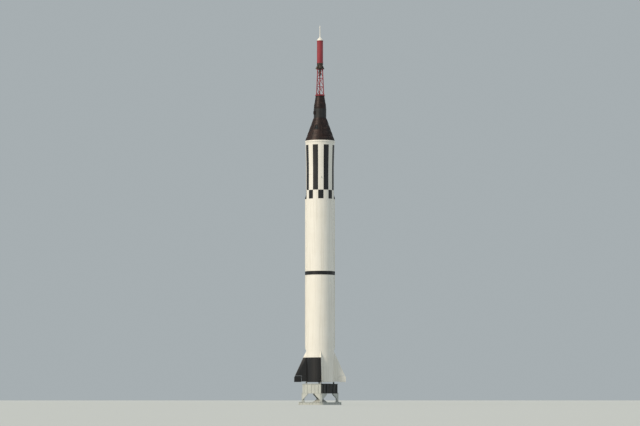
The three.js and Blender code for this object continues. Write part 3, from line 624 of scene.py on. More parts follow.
bottom, top, low, lip = pick(leg, "bottom", "top", "low", "lip")
root, foot, reach, rim = pick(leg, "root", "foot", "reach", "rim")
middle, height = (leg["inner"] + leg["outer"]) / 2, (top + bottom) / 2
post = (leg["outer"] - leg["inner"], leg["width"], top - bottom - 0.01)
outline = [(root, top), (root, low), (foot, low), (reach, top - lip), (reach, top)]
inside = [(reach - rim, top), (reach - rim, top - lip + 0.006), (foot - 0.004, low + rim), (root, low + rim)]
for side, turn in sides.items():
    bm = bmesh.new()
    place = turnOf(turn)
    addBlock(bm, post, (middle, 0, height), place, 0.012)
    for z in (bottom + leg["plate"] / 2, top - leg["plate"] / 2):
        addBlock(bm, (*leg["plateSize"], leg["plate"]), (middle - 0.004, 0, z), place, 0.003)
    addHeads(bm, [(spotAt(turn, middle + x, y, bottom + leg["plate"] - sink), upwards)
                  for x in leg["bolts"][0] for y in leg["bolts"][1]], "legBolt")
    for way in (-1, 1):
        skinLoops(bm, [[gussetAt(turn, way, u, inward, z) for u, z in outline]
                       for inward in (leg["web"], leg["thick"] - leg["web"])])
        # the flange is the gusset's full thickness, along its lower edges
        skinLoops(bm, [[gussetAt(turn, way, u, inward, z) for u, z in outline[1:] + inside]
                       for inward in (0, leg["thick"])])
    finishPiece("standLeg_" + side, bm, "stand_leg_" + side, ["standEnamel", "zincPlate"])
print("launch stand done")


# Tail unit

# hoops: low, high, rise; rivetRings: heights, count; rivetRows: low, high, count; port: radius, rise
tail = {"low": 1.45, "high": 3.8997, "inner": 0.858, "ledge": 0.84, "ledgeZ": 1.8703, "roof": 3.75,
        "hoops": ((1.45, 1.525, 0.004), (2.955, 2.985, 0.003), (3.8497, 3.8997, 0.004)), "hoopRivets": 0.003,
        "rivetRings": (((1.47, 1.506), 60), ((2.94, 3.0), 96), ((3.8747,), 72)), "seams": 8,
        "rivetRows": ((1.58, 2.9, 26), (3.05, 3.82, 16)), "panelHalf": 8, "panelHeights": (2.15, 2.75),
        "portZ": 3.45, "port": ((0, 0.01), (0.05, 0.01), (0.056, 0.004), (0.056, -0.03), (0, -0.03))}
bm = bmesh.new()
low, high, half, ledge, ledgeZ, roof = pick(tail, "low", "high", "panelHalf", "ledge", "ledgeZ", "roof")
bottom, top = tail["panelHeights"]
features = [*tail["hoops"]]
rivets = []
for heights, count in tail["rivetRings"]:
    rivets += ringSpots(bodyRadius + tail["hoopRivets"], heights, count, 1.5)
for turn in corners:
    features += outlineGrooves((turn - half, turn + half), (bottom, top), bodyRadius)
    rivets += frameSpots(bodyRadius, (turn - half + 1, turn + half - 1), (bottom + 0.03, top - 0.03), 0.09)
    lathe(bm, tail["port"], 40, 0, facingOut(turn, bodyRadius - 0.002, tail["portZ"]))
for i in range(tail["seams"]):
    turn = 360 / tail["seams"] * (i + 0.5)
    features.append((turn - 0.16, turn + 0.16, 1.53, 3.84, -0.003))
    for row in tail["rivetRows"]:
        rivets += rowSpots(bodyRadius, turn - 0.9, *row) + rowSpots(bodyRadius, turn + 0.9, *row)
reliefShell(bm, bodyRadius, [low, 1.9, 2.4, 2.9, 3.4, high], features, innerFinish=1, inner=[
    (0, high), (0, roof), (ledge, roof), (ledge, ledgeZ), (tail["inner"], ledgeZ), (tail["inner"], low)])
addHeads(bm, rivets, "skinRivet")

# Bearings of the jet vanes: square blocks on the inside of the tail, bored for the shaft
bearing = {"inner": 0.64, "half": 0.06, "depth": 0.234, "axis": 1.69, "bore": 0.0259, "boreDepth": 0.115,
           "bolts": (-0.043, 0.043)}
half, depth, bore, boreDepth = pick(bearing, "half", "depth", "bore", "boreDepth")
circle = [polar(360 / 32 * i, 1, 0) for i in range(32)]
square = [point / max(abs(point.x), abs(point.y)) for point in circle]
block = ((square, half, depth), (square, half, 0.008), (square, half * 0.94, 0),
         (circle, bore, 0), (circle, bore, boreDepth), (circle, 0, boreDepth))
bolts = []
for turn in sides.values():
    place = facingOut(turn, bearing["inner"], bearing["axis"])
    skinLoops(bm, [[place @ (point * reach + upwards * z) for point in shape] for shape, reach, z in block],
              finish=1)
    bolts += [(place @ Vector((x, y, sink)), -polar(turn, 1, 0))
              for x in bearing["bolts"] for y in bearing["bolts"]]
addHeads(bm, bolts, "bearingBolt")
finishPiece("tailUnit", bm, "tail_unit", ["bodyPaint", "blockSteel", "zincPlate"])

# Fins: a wedge from root to a rounded leading edge, with a notch at the lower outer corner for the rudder.
# Rows of rivets and the angle: low, high, how many steps.
fin = {"top": 3.40, "bottom": 1.48, "tip": 1.65, "tipTop": 1.75, "root": 0.886, "start": 0.85,
       "rootHalf": 0.075, "tipHalf": 0.034, "edgeHalf": 0.007, "nose": 0.17, "rootNose": 0.34, "notch": 1.18,
       "notchTop": 1.85, "ribs": (1.7216, 2.1248, 2.528, 2.8976), "ribStart": 0.93,
       "edgeRivets": (1.9, 3.165, 23),
       "rootRow": 0.918, "rootRivets": (1.5, 3.18, 24), "angleOut": 0.892, "angle": (1.485, 3.335, 37),
       "angleThick": 0.011, "cover": (1.03, 1.74), "coverSize": (0.22, 0.014, 0.2)}


def leadAt(z):
    return bodyRadius + (fin["top"] - z) / (fin["top"] - fin["tipTop"]) * (fin["tip"] - bodyRadius)


# Half thickness of the fin at a radius and height, before its edge is rounded
def finHalf(radius, z):
    start, rootHalf, edgeHalf = pick(fin, "start", "rootHalf", "edgeHalf")
    shoulderTop = fin["top"] - fin["rootNose"]
    rim = leadAt(max(z, fin["tipTop"]))
    if z > shoulderTop:
        root = lerp(rootHalf, edgeHalf, (z - shoulderTop) / fin["rootNose"])
        return lerp(root, edgeHalf, min(1, max(0, (radius - start) / (rim - start))))
    share = min(1, (shoulderTop - z) / (shoulderTop - fin["tipTop"]))
    shoulder = lerp(start, fin["tip"] - fin["nose"], share)
    half = lerp(rootHalf, fin["tipHalf"], share)
    if radius < shoulder:
        return lerp(rootHalf, half, (radius - start) / max(1e-4, shoulder - start))
    return lerp(half, edgeHalf, min(1, (radius - shoulder) / (rim - shoulder)))


def finSpot(turn, radius, z, way):
    half = finHalf(radius, z)
    slope = (finHalf(radius + 0.01, z) - half) / 0.01
    outwards = Vector((-slope, way, 0)).normalized()
    return spotAt(turn, radius, way * (half - sink), z), turnOf(turn) @ outwards


levels = [fin["bottom"], 1.55, 1.65, 1.75, fin["notchTop"]] + steps(fin["notchTop"] + 0.0001, fin["top"], 22)
for side, turn in sides.items():
    bm = bmesh.new()
    loops = []
    for z in levels:
        notched = z <= fin["notchTop"]
        end = fin["notch"] if notched else max(leadAt(z), fin["root"] + 0.02)
        *flat, last = steps(fin["root"], end - 0.008, 14)
        if notched:
            edge = [(end - 0.003, finHalf(end, z)), (end, finHalf(end, z) - 0.003), (end, 0)]
        else:
            edge = [(last, finHalf(last, z)), (end - 0.003, 0.0055), (end, 0)]
        half = [(r, finHalf(r, z)) for r in flat] + edge
        loops.append([spotAt(turn, r, y, z) for r, y in bothSides(half)])
    skinLoops(bm, loops)
    rivets = []
    for way in (-1, 1):
        for z in fin["ribs"]:
            end = leadAt(z) - 0.1 if z > fin["notchTop"] else fin["notch"] - 0.02
            rivets += [finSpot(turn, r, z, way) for r in steps(fin["ribStart"], end, 12)]
        rivets += [finSpot(turn, leadAt(z) - 0.075, z, way) for z in steps(*fin["edgeRivets"])]
        rivets += [finSpot(turn, fin["rootRow"], z, way) for z in steps(*fin["rootRivets"])]
        r = fin["angleOut"]
        angle = [spotAt(turn, r, way * finHalf(r, z), z) for z in steps(*fin["angle"])]
        addTubes(bm, [(angle, fin["angleThick"])], 8)  # joins fin and skin
        r, z = fin["cover"]  # access cover over the rudder's drive
        near, half, far = (finHalf(r + x, fin["tipTop"]) for x in (-0.1, 0, 0.1))
        place = turnOf(turn) @ Matrix.Translation((r, way * (half - 0.002), z))
        place @= Matrix.Rotation(way * math.atan2(far - near, 0.2), 4, "Z")
        addBlock(bm, fin["coverSize"], (0, 0, 0), place, 0.003)
    addHeads(bm, rivets, "skinRivet")
    finishPiece("tailFin_" + side, bm, "fin_" + side, ["bodyPaint"])

# Rudders and jet vanes: blades that are thickest at their shaft
rudder = {"inner": 1.19, "axis": 1.75, "top": 1.84, "bottom": 1.45, "half": 0.03, "edge": 0.008,
          "tipHalf": 0.016, "shaft": (1.09, 1.25), "shaftRadius": 0.025, "rivets": (1.22, 1.605, 7)}
vane = {"inner": 0.15, "outer": 0.43, "axis": 1.69, "top": 1.78, "bottom": 1.545, "half": 0.025,
        "edge": 0.009, "slant": 0.03, "studs": 6, "studRing": 0.042}
collar = [(0, 0.418), (0.05, 0.418), (0.055, 0.423), (0.055, 0.45), (0.05, 0.455), (0.034, 0.456),
          (0.03, 0.5), (0.025, 0.51), (0.025, 0.75), (0, 0.75)]  # a vane's: radius, distance from the middle


# One cross-section of a blade at a share of its span, which reaches from the inner to the outer radius
def bladeLoop(turn, blade, half, inner, outer, share):
    edge, top, axis, bottom = pick(blade, "edge", "top", "axis", "bottom")
    side = [(top, edge * 0.5), (top - 0.004, edge), (lerp(axis, top, 0.3), half * 0.86), (axis, half),
            (lerp(axis, bottom, 0.35), lerp(half, edge, 0.3)), (bottom + 0.004, edge), (bottom, edge * 0.5)]
    return [spotAt(turn, lerp(valueAt(inner, z), valueAt(outer, z), share), y, z) for z, y in bothSides(side)]


# A rudder's tip follows the fin's edge above the shaft, and a vane's root slants below it
def rudderTip(z):
    rise = max(0, (z - rudder["axis"]) / (rudder["top"] - rudder["axis"]))
    return lerp(fin["tip"], leadAt(rudder["top"]) - 0.004, rise)


def vaneRoot(z):
    return vane["inner"] + vane["slant"] * max(0, (vane["axis"] - z) / (vane["axis"] - vane["bottom"]))


for side, turn in sides.items():
    bm = bmesh.new()
    inner, axis, half, tipHalf = pick(rudder, "inner", "axis", "half", "tipHalf")
    skinLoops(bm, [bladeLoop(turn, rudder, lerp(half, tipHalf, share), inner, rudderTip, share)
                   for share in steps(0, 1, 12)])
    addTubes(bm, [([spotAt(turn, r, 0, axis) for r in rudder["shaft"]], rudder["shaftRadius"])], 24, 1)
    rivets = []
    for z, share in ((axis, 1.0), (1.5, 0.1)):  # along the shaft and along the lower edge
        for r in steps(*rudder["rivets"]):
            y = lerp(rudder["edge"], lerp(half, tipHalf, (r - inner) / (fin["tip"] - inner)), share) - sink
            rivets += [(spotAt(turn, r, way * y, z), spotAt(turn, 0, way, 0)) for way in (-1, 1)]
    addHeads(bm, rivets, "bladeRivet")
    finishPiece("airRudder_" + side, bm, "rudder_" + side, ["bodyPaint", "zincPlate"], body=side + "_rudder")

for side, turn in sides.items():
    bm = bmesh.new()
    skinLoops(bm, [bladeLoop(turn, vane, vane["half"], vaneRoot, vane["outer"], share)
                   for share in steps(0, 1, 8)])
    place = facingOut(turn, 0, vane["axis"])
    lathe(bm, collar, 40, 1, place)
    addHeads(bm, [(place @ polar(360 * i / vane["studs"], vane["studRing"], 0.4545), polar(turn, 1, 0))
                  for i in range(vane["studs"])], "collarStud")
    finishPiece("jetVane_" + side, bm, "jet_vane_" + side, ["graphite", "zincPlate"],
                side + "_vane")
print("tail done")


# Engine

bell = {"exitZ": 1.8, "exit": 0.425, "exitOuter": 0.45, "throatZ": 2.6, "throat": 0.19, "throatOuter": 0.235,
        "top": 2.63, "pull": 0.86, "pullZ": 0.36, "rim": 0.016, "rimRise": 0.018,
        "hoops": ((0.3, 0.012), (0.52, 0.012), (0.72, 0.012), (0.92, 0.014))}  # share of the height, radius


def bellAt(exit, throat, share):
    pull = (exit * bell["pull"], bell["exitZ"] + bell["pullZ"])
    return bend((exit, bell["exitZ"]), pull, (throat, bell["throatZ"]), share)


def hoopAt(radius, z):
    return [polar(i * 5, radius, z) for i in range(73)]


bm = bmesh.new()
exitOuter, throatOuter, top = pick(bell, "exitOuter", "throatOuter", "top")
outside = [bellAt(exitOuter, throatOuter, share) for share in steps(0, 1, 32)]
inside = [bellAt(bell["exit"], bell["throat"], share) for share in steps(1, 0, 32)]
lathe(bm, outside + [(throatOuter, top), (0, top), (0, bell["throatZ"])] + inside, 128)
hoops = [(hoopAt(exitOuter + 0.002, bell["exitZ"] + bell["rimRise"]), bell["rim"])]
for share, radius in bell["hoops"]:
    r, z = bellAt(exitOuter, throatOuter, share)
    hoops.append((hoopAt(r + 0.002, z), radius))
addTubes(bm, hoops, 12)
finishPiece("engineBell", bm, "engine_bell", ["heatTint"])

# Heat shield plate round the bell: ribs and hoops on its underside, and rings of screws (radius, count)
shield = {"inner": 0.458, "outer": 0.8577, "low": 1.85, "high": 1.87, "rib": 0.012, "ribEnds": (0.5, 0.82),
          "hoop": 0.008, "hoops": (0.478, 0.66, 0.835), "screws": ((0.5, 24), (0.69, 36), (0.81, 48))}
bm = bmesh.new()
low, high, inner, outer = pick(shield, "low", "high", "inner", "outer")
lathe(bm, [(inner, low), (outer, low), (outer, high), (inner, high)])
ribs = [([polar(t, r, low + 0.001) for r in shield["ribEnds"]], shield["rib"]) for t in range(15, 375, 30)]
ribs += [(hoopAt(r, low + 0.002), shield["hoop"]) for r in shield["hoops"]]
addTubes(bm, ribs)
addHeads(bm, [(polar(360 / count * (i + 0.5), r, low + sink), -upwards)
              for r, count in shield["screws"] for i in range(count)], "ringBolt")
finishPiece("baseShield", bm, "base_heat_shield", ["nozzleSteel", "zincPlate"])
for node, finish in (("engine_block", "blockSteel"), ("heat_shield", "resin")):
    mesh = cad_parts[node].data
    mesh.materials.clear()
    mesh.materials.append(finishes[finish])
print("engine done")


# Tank sections and joint ring

# seams: heights of the welds from ring to ring; ports: turn and height of round covers
tanks = {"lower": {"low": 3.9, "high": 8.2697, "seams": (5.0, 6.1, 7.2), "ports": ((135, 4.4), (315, 7.7))},
         "upper": {"low": 8.51, "high": 13.1297, "seams": (9.7, 10.85, 12.0),
                   "ports": ((150, 9.1), (330, 12.5), (60, 9.1))}}
port = [(0, 0.008), (0.055, 0.008), (0.058, 0.014), (0.078, 0.014), (0.082, 0.01), (0.082, -0.02), (0, -0.02)]
band, bandRise = 0.045, 0.004  # the raised band at the end of a section
for name, part in tanks.items():
    bm = bmesh.new()
    low, high = pick(part, "low", "high")
    features = [(z - 0.011, z + 0.011, 0.003) for z in part["seams"]]  # raised weld beads
    features += [(low, low + band, bandRise), (high - band, high, bandRise)]
    ends = [low + 0.06, *part["seams"], high - 0.06]
    for i, (a, b) in enumerate(zip(ends, ends[1:])):  # lengthwise welds, turned from ring to ring
        turn = 30 + 45 * (i % 2)
        features += [(turn - 0.5, turn + 0.5, a, b, 0.002), (turn + 179.5, turn + 180.5, a, b, 0.002)]
    reliefShell(bm, bodyRadius, steps(low, high, 12), features)
    rivets = ringSpots(bodyRadius + 0.003, (low + 0.022, high - 0.022), 72, 2.5)
    for turn, z in part["ports"]:
        place = facingOut(turn, bodyRadius - 0.003, z)
        lathe(bm, port, 48, 0, place)
        rivets += [(place @ polar(45 * i, 0.068, 0.0135), polar(turn, 1, 0)) for i in range(8)]
    addHeads(bm, rivets, "panelScrew")
    finishPiece(name + "Tank", bm, name + "_tank_section", ["bodyPaint"])

joint = {"low": 8.27, "high": 8.5097, "radius": 0.896, "groove": 0.006, "bolts": 24, "rowsAside": 0.062,
         "pocketHalf": 0.03, "pocketDepth": 0.012}
bm = bmesh.new()
radius, groove, half, depth, count = pick(joint, "radius", "groove", "pocketHalf", "pocketDepth", "bolts")
middle, pitch = (joint["low"] + joint["high"]) / 2, 360 / count
rows = (middle - joint["rowsAside"], middle + joint["rowsAside"])
features = [(middle - groove, middle + groove, -groove)]
features += [(pitch * (i + 0.4), pitch * (i + 0.6), z - half, z + half, -depth)
             for z in rows for i in range(count)]
reliefShell(bm, radius, [joint["low"], middle, joint["high"]], features)
addHeads(bm, ringSpots(radius - depth + sink, rows, count, pitch / 2), "jointBolt")  # each lies in a pocket
finishPiece("tankJointRing", bm, "tank_joint_ring", ["bodyPaint"])

# Instrument section: two doors let into the skin, plates for the ground cables, small blade aerials
bay = {"low": 13.13, "high": 15.2897, "doors": {"right": 45, "left": 225}, "doorHalf": 0.31, "gap": 0.004,
       "doorHeights": (13.81, 14.69), "thick": 0.0257, "doublerTurns": 3.2, "plates": (112, 135, 292, 315),
       "plateHeights": (13.95, 14.2), "hoops": ((13.52, 13.54, 0.003), (14.93, 14.95, 0.003)),
       "aerials": (90, 270),
       "aerial": ((0.885, 14.46), (0.885, 14.58), (0.965, 14.54), (0.965, 14.5))}
bm = bmesh.new()
low, high, gap = pick(bay, "low", "high", "gap")
bottom, top = bay["doorHeights"]
half = math.degrees(math.asin((bay["doorHalf"] + gap) / bodyRadius))
features = [(low, low + band, bandRise), (high - 0.05, high, bandRise), *bay["hoops"]]
rivets = ringSpots(bodyRadius + 0.003, (low + 0.022, high - 0.025), 72, 2.5)
for turn in bay["doors"].values():
    a, b = turn - half - bay["doublerTurns"], turn + half + bay["doublerTurns"]
    features.append((a, b, bottom - 0.05, top + 0.05, 0.003))  # doubler round the door
    features.append((turn - half, turn + half, bottom - gap, top + gap, -0.026))
    rivets += frameSpots(bodyRadius + 0.002, (a + 1.6, b - 1.6), (bottom - 0.028, top + 0.028), 0.075)
a, b = bay["plateHeights"]
for turn in bay["plates"]:
    features.append((turn - 5, turn + 5, a, b, 0.006))
    rivets += frameSpots(bodyRadius + 0.005, (turn - 4.1, turn + 4.1), (a + 0.018, b - 0.018), 0.06)
reliefShell(bm, bodyRadius, steps(low, high, 8), features)
addHeads(bm, rivets, "sectionRivet")
for turn in bay["aerials"]:
    skinLoops(bm, [[spotAt(turn, r, y, z) for r, z in bay["aerial"]] for y in (-0.006, 0.006)])
finishPiece("instrumentBay", bm, "instrument_section", ["bodyPaint"])
half = math.degrees(math.asin(bay["doorHalf"] / bodyRadius))
for side, turn in bay["doors"].items():
    bm = bmesh.new()
    addPanel(bm, lambda z, r: (turn - half, turn + half), bodyRadius, bay["thick"], (bottom, top))
    screwed = (turn - half + 1.3, turn + half - 1.3)
    addHeads(bm, frameSpots(bodyRadius, screwed, (bottom + 0.022, top - 0.022), 0.07), "panelScrew")
    finishPiece("instrumentDoor_" + side, bm, "instrument_door_" + side, ["bodyPaint"])

# Adapter: flares to the capsule, with a well for the heat shield
adapter = {"low": 15.29, "high": 16.7397, "top": 0.932, "well": 0.862, "wellZ": 16.55, "rows": 16,
           "hoops": ((15.76, 15.78, 0.003), (16.24, 16.26, 0.003))}


def adapterAt(z):
    return lerp(bodyRadius, adapter["top"], (z - adapter["low"]) / (adapter["high"] - adapter["low"]))


bm = bmesh.new()
low, high, well, wellZ = pick(adapter, "low", "high", "well", "wellZ")
features = [(low, low + 0.05, bandRise), (high - 0.06, high, bandRise), *adapter["hoops"]]
inner = [(well, high), (well, wellZ), (0, wellZ), (0, low)]
reliefShell(bm, adapterAt, steps(low, high, 6), features, inner)
bandAt = raised(adapterAt, 0.003)
rivets = ringSpots(bandAt, (low + 0.025,), 72, 2.5) + ringSpots(bandAt, (high - 0.03,), 96)
for i in range(adapter["rows"]):
    rivets += rowSpots(adapterAt, 360 / adapter["rows"] * (i + 0.5), low + 0.1, high - 0.1, 17)
addHeads(bm, rivets, "sectionRivet")
finishPiece("spacecraftAdapter", bm, "spacecraft_adapter", ["bodyPaint"])

# Clamp ring: three segments drawn together by bolts through small blocks
clamp = {"low": 16.74, "high": 16.8697, "inner": 0.862, "outer": 0.962, "foot": 0.932, "head": 0.946,
         "joints": (90, 210, 330)}
bm = bmesh.new()
low, high, inner, outer = pick(clamp, "low", "high", "inner", "outer")
middle = (low + high) / 2
lathe(bm, [(inner, low), (clamp["foot"], low), (outer - 0.006, low + 0.022), (outer, low + 0.032),
           (outer, high - 0.032), (outer - 0.006, high - 0.022), (clamp["head"], high), (inner, high)])
for turn in clamp["joints"]:
    for step in (-2.6, 2.6):
        addBlock(bm, (0.05, 0.05, 0.085), (outer - 0.008, 0, middle), turnOf(turn + step), 0.008)
addTubes(bm, [([polar(turn + step, outer - 0.002, middle) for step in (-5.2, 5.2)], 0.012)
              for turn in clamp["joints"]], 12, 1)
addHeads(bm, ringSpots(outer, (low + 0.045, high - 0.045), 24, 7.5), "ringBolt")
finishPiece("capsuleClamp", bm, "capsule_clamp_ring", ["bodyPaint", "zincPlate"])

# Cable ducts: a low cover over the skin in lengths, screwed down along both feet
duct = {"low": 3.46, "high": 13.37, "rise": 0.062, "slope": 0.16, "lengths": 6, "screws": 41,
        "bare": (8.25, 8.53)}  # no screws over the joint ring
low, high, slope = pick(duct, "low", "high", "slope")
levels = [(low, 0.1), (low + slope * 0.5, 0.6), (low + slope, 1.0)]
for z in steps(low, high, duct["lengths"])[1:-1]:  # a cover strip over each joint
    levels += [(z - 0.03, 1.0), (z - 0.029, 1.05), (z + 0.029, 1.05), (z + 0.03, 1.0)]
levels += [(high - slope, 1.0), (high - slope * 0.5, 0.6), (high, 0.1)]
screws = [(0.895, y, z) for z in steps(low + 0.2, high - 0.2, duct["screws"] - 1) for y in (-0.0665, 0.0665)
          if not duct["bare"][0] < z < duct["bare"][1]]
for side in ("right", "left"):
    bm = bmesh.new()
    turn = sides[side]
    loops = []
    for z, share in levels:
        rise = duct["rise"] * share
        half = [(0.888, 0.075), (0.894, 0.075), (0.896, 0.073), (0.896, 0.060), (0.89 + rise * 0.9, 0.052),
                (0.89 + rise * 0.98, 0.046), (0.89 + rise, 0.038)]
        loops.append([spotAt(turn, r, y, z) for r, y in bothSides(half)])
    skinLoops(bm, loops)
    addHeads(bm, [(spotAt(turn, *screw), polar(turn, 1, 0)) for screw in screws], "ductScrew")
    finishPiece("cableDuct_" + side, bm, "cable_duct_" + side, ["bodyPaint"])
print("body sections done")


# Capsule

cabin = {"base": 16.87, "top": 18.3447, "baseRadius": 0.946, "topRadius": 0.412, "height": 1.475,
         "wall": 0.0638, "ceiling": 18.2847, "levels": (17.04, 17.35, 17.7, 18.1),
         "seams": (17.17, 17.525, 17.905), "bead": 0.0085, "frameRise": 0.009, "framePitch": 0.05}
# turn, low, high, half width at the low and the high edge, width of the frame
openings = {"hatch": (300, 17.2, 17.8, 0.33, 0.215, 0.03), "window": (245, 17.57, 17.88, 0.12, 0.075, 0.028)}
# rows of shingles: low, high, shingles round, beads on each, turned by this share of a shingle
shingles = ((16.895, 17.15, 16, 6, 0.5), (17.19, 17.505, 16, 5, 0.5),
            (17.545, 17.885, 12, 5, 0), (17.925, 18.315, 12, 4, 0))


def coneAt(z):
    return lerp(cabin["baseRadius"], cabin["topRadius"], (z - cabin["base"]) / cabin["height"])


# The side edges of an opening at a height, as turns, on the surface at a radius
def openingTurns(name, z, radius, shrink=0.0):
    turn, low, high, lowHalf, highHalf, _ = openings[name]
    half = lerp(lowHalf, highHalf, min(1, max(0, (z - low) / (high - low)))) - shrink
    angle = math.degrees(math.asin(half / radius))
    return turn - angle, turn + angle


def besideOpening(name, turn, z, radius, margin):
    low, high = openingTurns(name, z, radius, -margin)
    return low < turn % 360 < high


# The cabin's outer and inner skins share one grid, whose columns lean with the openings' sides
spans = {"window": 12, "between": 14, "hatch": 40, "rest": 150}
total = sum(spans.values())


def cabinRing(z, radius):
    edges = [turn for name in ("window", "hatch") for turn in openingTurns(name, z, radius)]
    edges.append(edges[0] + 360)
    return [bm.verts.new(polar(turn, radius, z)) for a, b, count in zip(edges, edges[1:], spans.values())
            for turn in steps(a, b, count)[:-1]]


bm = bmesh.new()
levels = [(z, 0) for z in (*pick(cabin, "base", "top", "ceiling"), *cabin["levels"])]
levels += [(z, 0) for _, *heights, _, _, _ in openings.values() for z in heights]
for z in cabin["seams"]:
    levels += [(z - 0.009, 0), (z - 0.006, -0.006), (z + 0.006, -0.006), (z + 0.009, 0)]
levels.sort()
outer = [cabinRing(z, coneAt(z) + step) for z, step in levels]
inner = [cabinRing(z, coneAt(z) - cabin["wall"]) for z, _ in levels[:-1]]
first = {name: sum(list(spans.values())[:i]) for i, name in enumerate(spans)}
holes = set()
rim = [((0, j), (0, (j + 1) % total)) for j in range(total)]  # pairs of (level, column)
for name, (_, low, high, *_) in openings.items():
    rows = [k for k, (z, _) in enumerate(levels) if low <= z <= high]
    left, right = first[name], first[name] + spans[name]
    holes |= {(k, j) for k in rows[:-1] for j in range(left, right)}
    rim += [((k, j), (k, j + 1)) for k in (rows[0], rows[-1]) for j in range(left, right)]
    rim += [((k, j), (n, j)) for j in (left, right) for k, n in zip(rows, rows[1:])]
for skin in (outer, inner):
    for k in range(len(skin) - 1):
        for j in [j for j in range(total) if (k, j) not in holes]:
            n = (j + 1) % total
            bm.faces.new((skin[k][j], skin[k][n], skin[k + 1][n], skin[k + 1][j]))
    bm.faces.new(skin[-1])
for (k, j), (n, m) in rim:
    bm.faces.new((outer[k][j], outer[n][m], inner[n][m], inner[k][j]))

beads, screws = [], []
for low, high, panels, count, shift in shingles:
    for i in range(panels):
        edge = 360 / panels * (i + shift)
        for turn in steps(edge, edge + 360 / panels, count + 1)[1:-1]:
            if not any(low < top + 0.04 and high > bottom - 0.04
                       and besideOpening(name, turn, (bottom + top) / 2, coneAt(bottom), 0.07)
                       for name, (_, bottom, top, *_) in openings.items()):
                beads.append(beadUp(coneAt, turn, low + 0.035, high - 0.035, cabin["bead"]))
        # the lap between two shingles, left out where it would cross the hatch or the window
        if low > 17.9 or not any(besideOpening(name, edge, 17.6, 0.65, 0.05) for name in openings):
            beads.append(([polar(edge, coneAt(z) + 0.0005, z) for z in (low + 0.004, high - 0.004)], 0.004))
            screws += rowSpots(coneAt, edge + math.degrees(0.016 / coneAt(low)), low + 0.03, high - 0.03, 6)
    for z in (low + 0.014, high - 0.014):
        near = [name for name, (_, bottom, top, *_) in openings.items() if bottom - 0.03 < z < top + 0.03]
        count = 72 if low < 17.9 else 48
        screws += [skinSpot(coneAt, turn, z) for turn in [360 / count * (i + 0.5) for i in range(count)]
                   if not any(besideOpening(name, turn, z, coneAt(z), 0.05) for name in near)]
addTubes(bm, beads)

# A flat frame round each opening: the way round it, as shares of its height and width
wayRound = [(0, share) for share in steps(0, 1, 24)[:-1]] + [(share, 1) for share in steps(0, 1, 12)[:-1]]
wayRound += [(1 - up, 1 - across) for up, across in wayRound]
rise, pitch = pick(cabin, "frameRise", "framePitch")
frameAt = raised(coneAt, rise)
for name, (_, low, high, _, _, width) in openings.items():
    loops = []
    for out, lift in ((0, -0.004), (0, rise), (width - 0.004, rise), (width, 0.004), (width, -0.004)):
        loops.append([])
        for up, across in wayRound:
            z = lerp(low - out, high + out, up)
            turn = lerp(*openingTurns(name, z, coneAt(z) + lift, -out), across)
            loops[-1].append(polar(turn, coneAt(z) + lift, z))
    skinLoops(bm, loops, wrap=True)
    for z in (low - width / 2, high + width / 2):
        a, b = openingTurns(name, z, coneAt(z))
        count = round(math.radians(b - a) * coneAt(z) / pitch)
        screws += [skinSpot(frameAt, turn, z) for turn in steps(a, b, count)]
    screws += [skinSpot(frameAt, turn, z) for z in steps(low, high, round((high - low) / pitch))[1:-1]
               for turn in openingTurns(name, z, coneAt(z), -width / 2)]
addHeads(bm, screws, "shingleScrew")
finishPiece("cabinShell", bm, "cabin_shell", ["shingleAlloy"])

# Hatch: a shingled panel let into the cabin, bolted all round
hatch = {"gap": 0.005, "proud": 0.004, "beads": 9, "beadRows": ((17.26, 17.49), (17.56, 17.74)),
         "inset": 0.02}
bm = bmesh.new()
_, low, high, *_ = openings["hatch"]
gap, hatchAt = hatch["gap"], raised(coneAt, hatch["proud"])
addPanel(bm, lambda z, r: openingTurns("hatch", z, r, gap), hatchAt, cabin["wall"] - 0.002,
         (low + gap, high - gap), 40, 16, 0.005)
beads, bolts = [], []
for share in steps(0, 1, hatch["beads"] + 1)[1:-1]:
    beads += [beadUp(coneAt, lambda z: lerp(*openingTurns("hatch", z, coneAt(z), 0.035), share), *heights,
                     cabin["bead"], 0.003) for heights in hatch["beadRows"]]
addTubes(bm, beads)
for i, z in enumerate(steps(low + 0.025, high - 0.025, 12)):  # full rows at the low and the high edge
    edges = openingTurns("hatch", z, coneAt(z), hatch["inset"])
    bolts += [skinSpot(hatchAt, turn, z) for turn in (steps(*edges, 11) if i in (0, 12) else edges)]
addHeads(bm, bolts, "hatchBolt")
finishPiece("sideHatch", bm, "hatch", ["shingleAlloy", "nozzleSteel"])

pane = {"gap": 0.0004, "rise": -0.019, "thick": 0.028}
bm = bmesh.new()
_, low, high, *_ = openings["window"]
gap, rise, thick = pick(pane, "gap", "rise", "thick")
addPanel(bm, lambda z, r: openingTurns("window", z, r, gap), raised(coneAt, rise), thick,
         (low + gap, high - gap), 12, 8, 0.001)
finishPiece("windowPane", bm, "window_pane", ["glassWithPaintedShade"])

# Recovery section: two rows of flat smooth shingles with open seams
recovery = {"low": 18.345, "high": 18.9447, "radius": 0.404, "shingles": 12, "seam": (18.64, 18.652),
            "groove": 0.006}
bm = bmesh.new()
low, high, radius, groove = pick(recovery, "low", "high", "radius", "groove")
bottom, top = recovery["seam"]
features, screws = [], []
for turn in range(0, 360, 360 // recovery["shingles"]):
    features.append((turn - 0.9, turn + 0.9, low, high, -groove))
    for heights in ((low + 0.035, bottom - 0.02), (top + 0.02, high - 0.04)):
        screws += frameSpots(radius, (turn + 3.4, turn + 26.6), heights, 0.075)
features += [(bottom, top, -groove), (low, low + 0.012, -groove), (high - 0.02, high, 0.004)]
reliefShell(bm, radius, [low, high], features, count=144)
addHeads(bm, screws, "shingleScrew")
finishPiece("recoverySection", bm, "recovery_section", ["beryllium"])

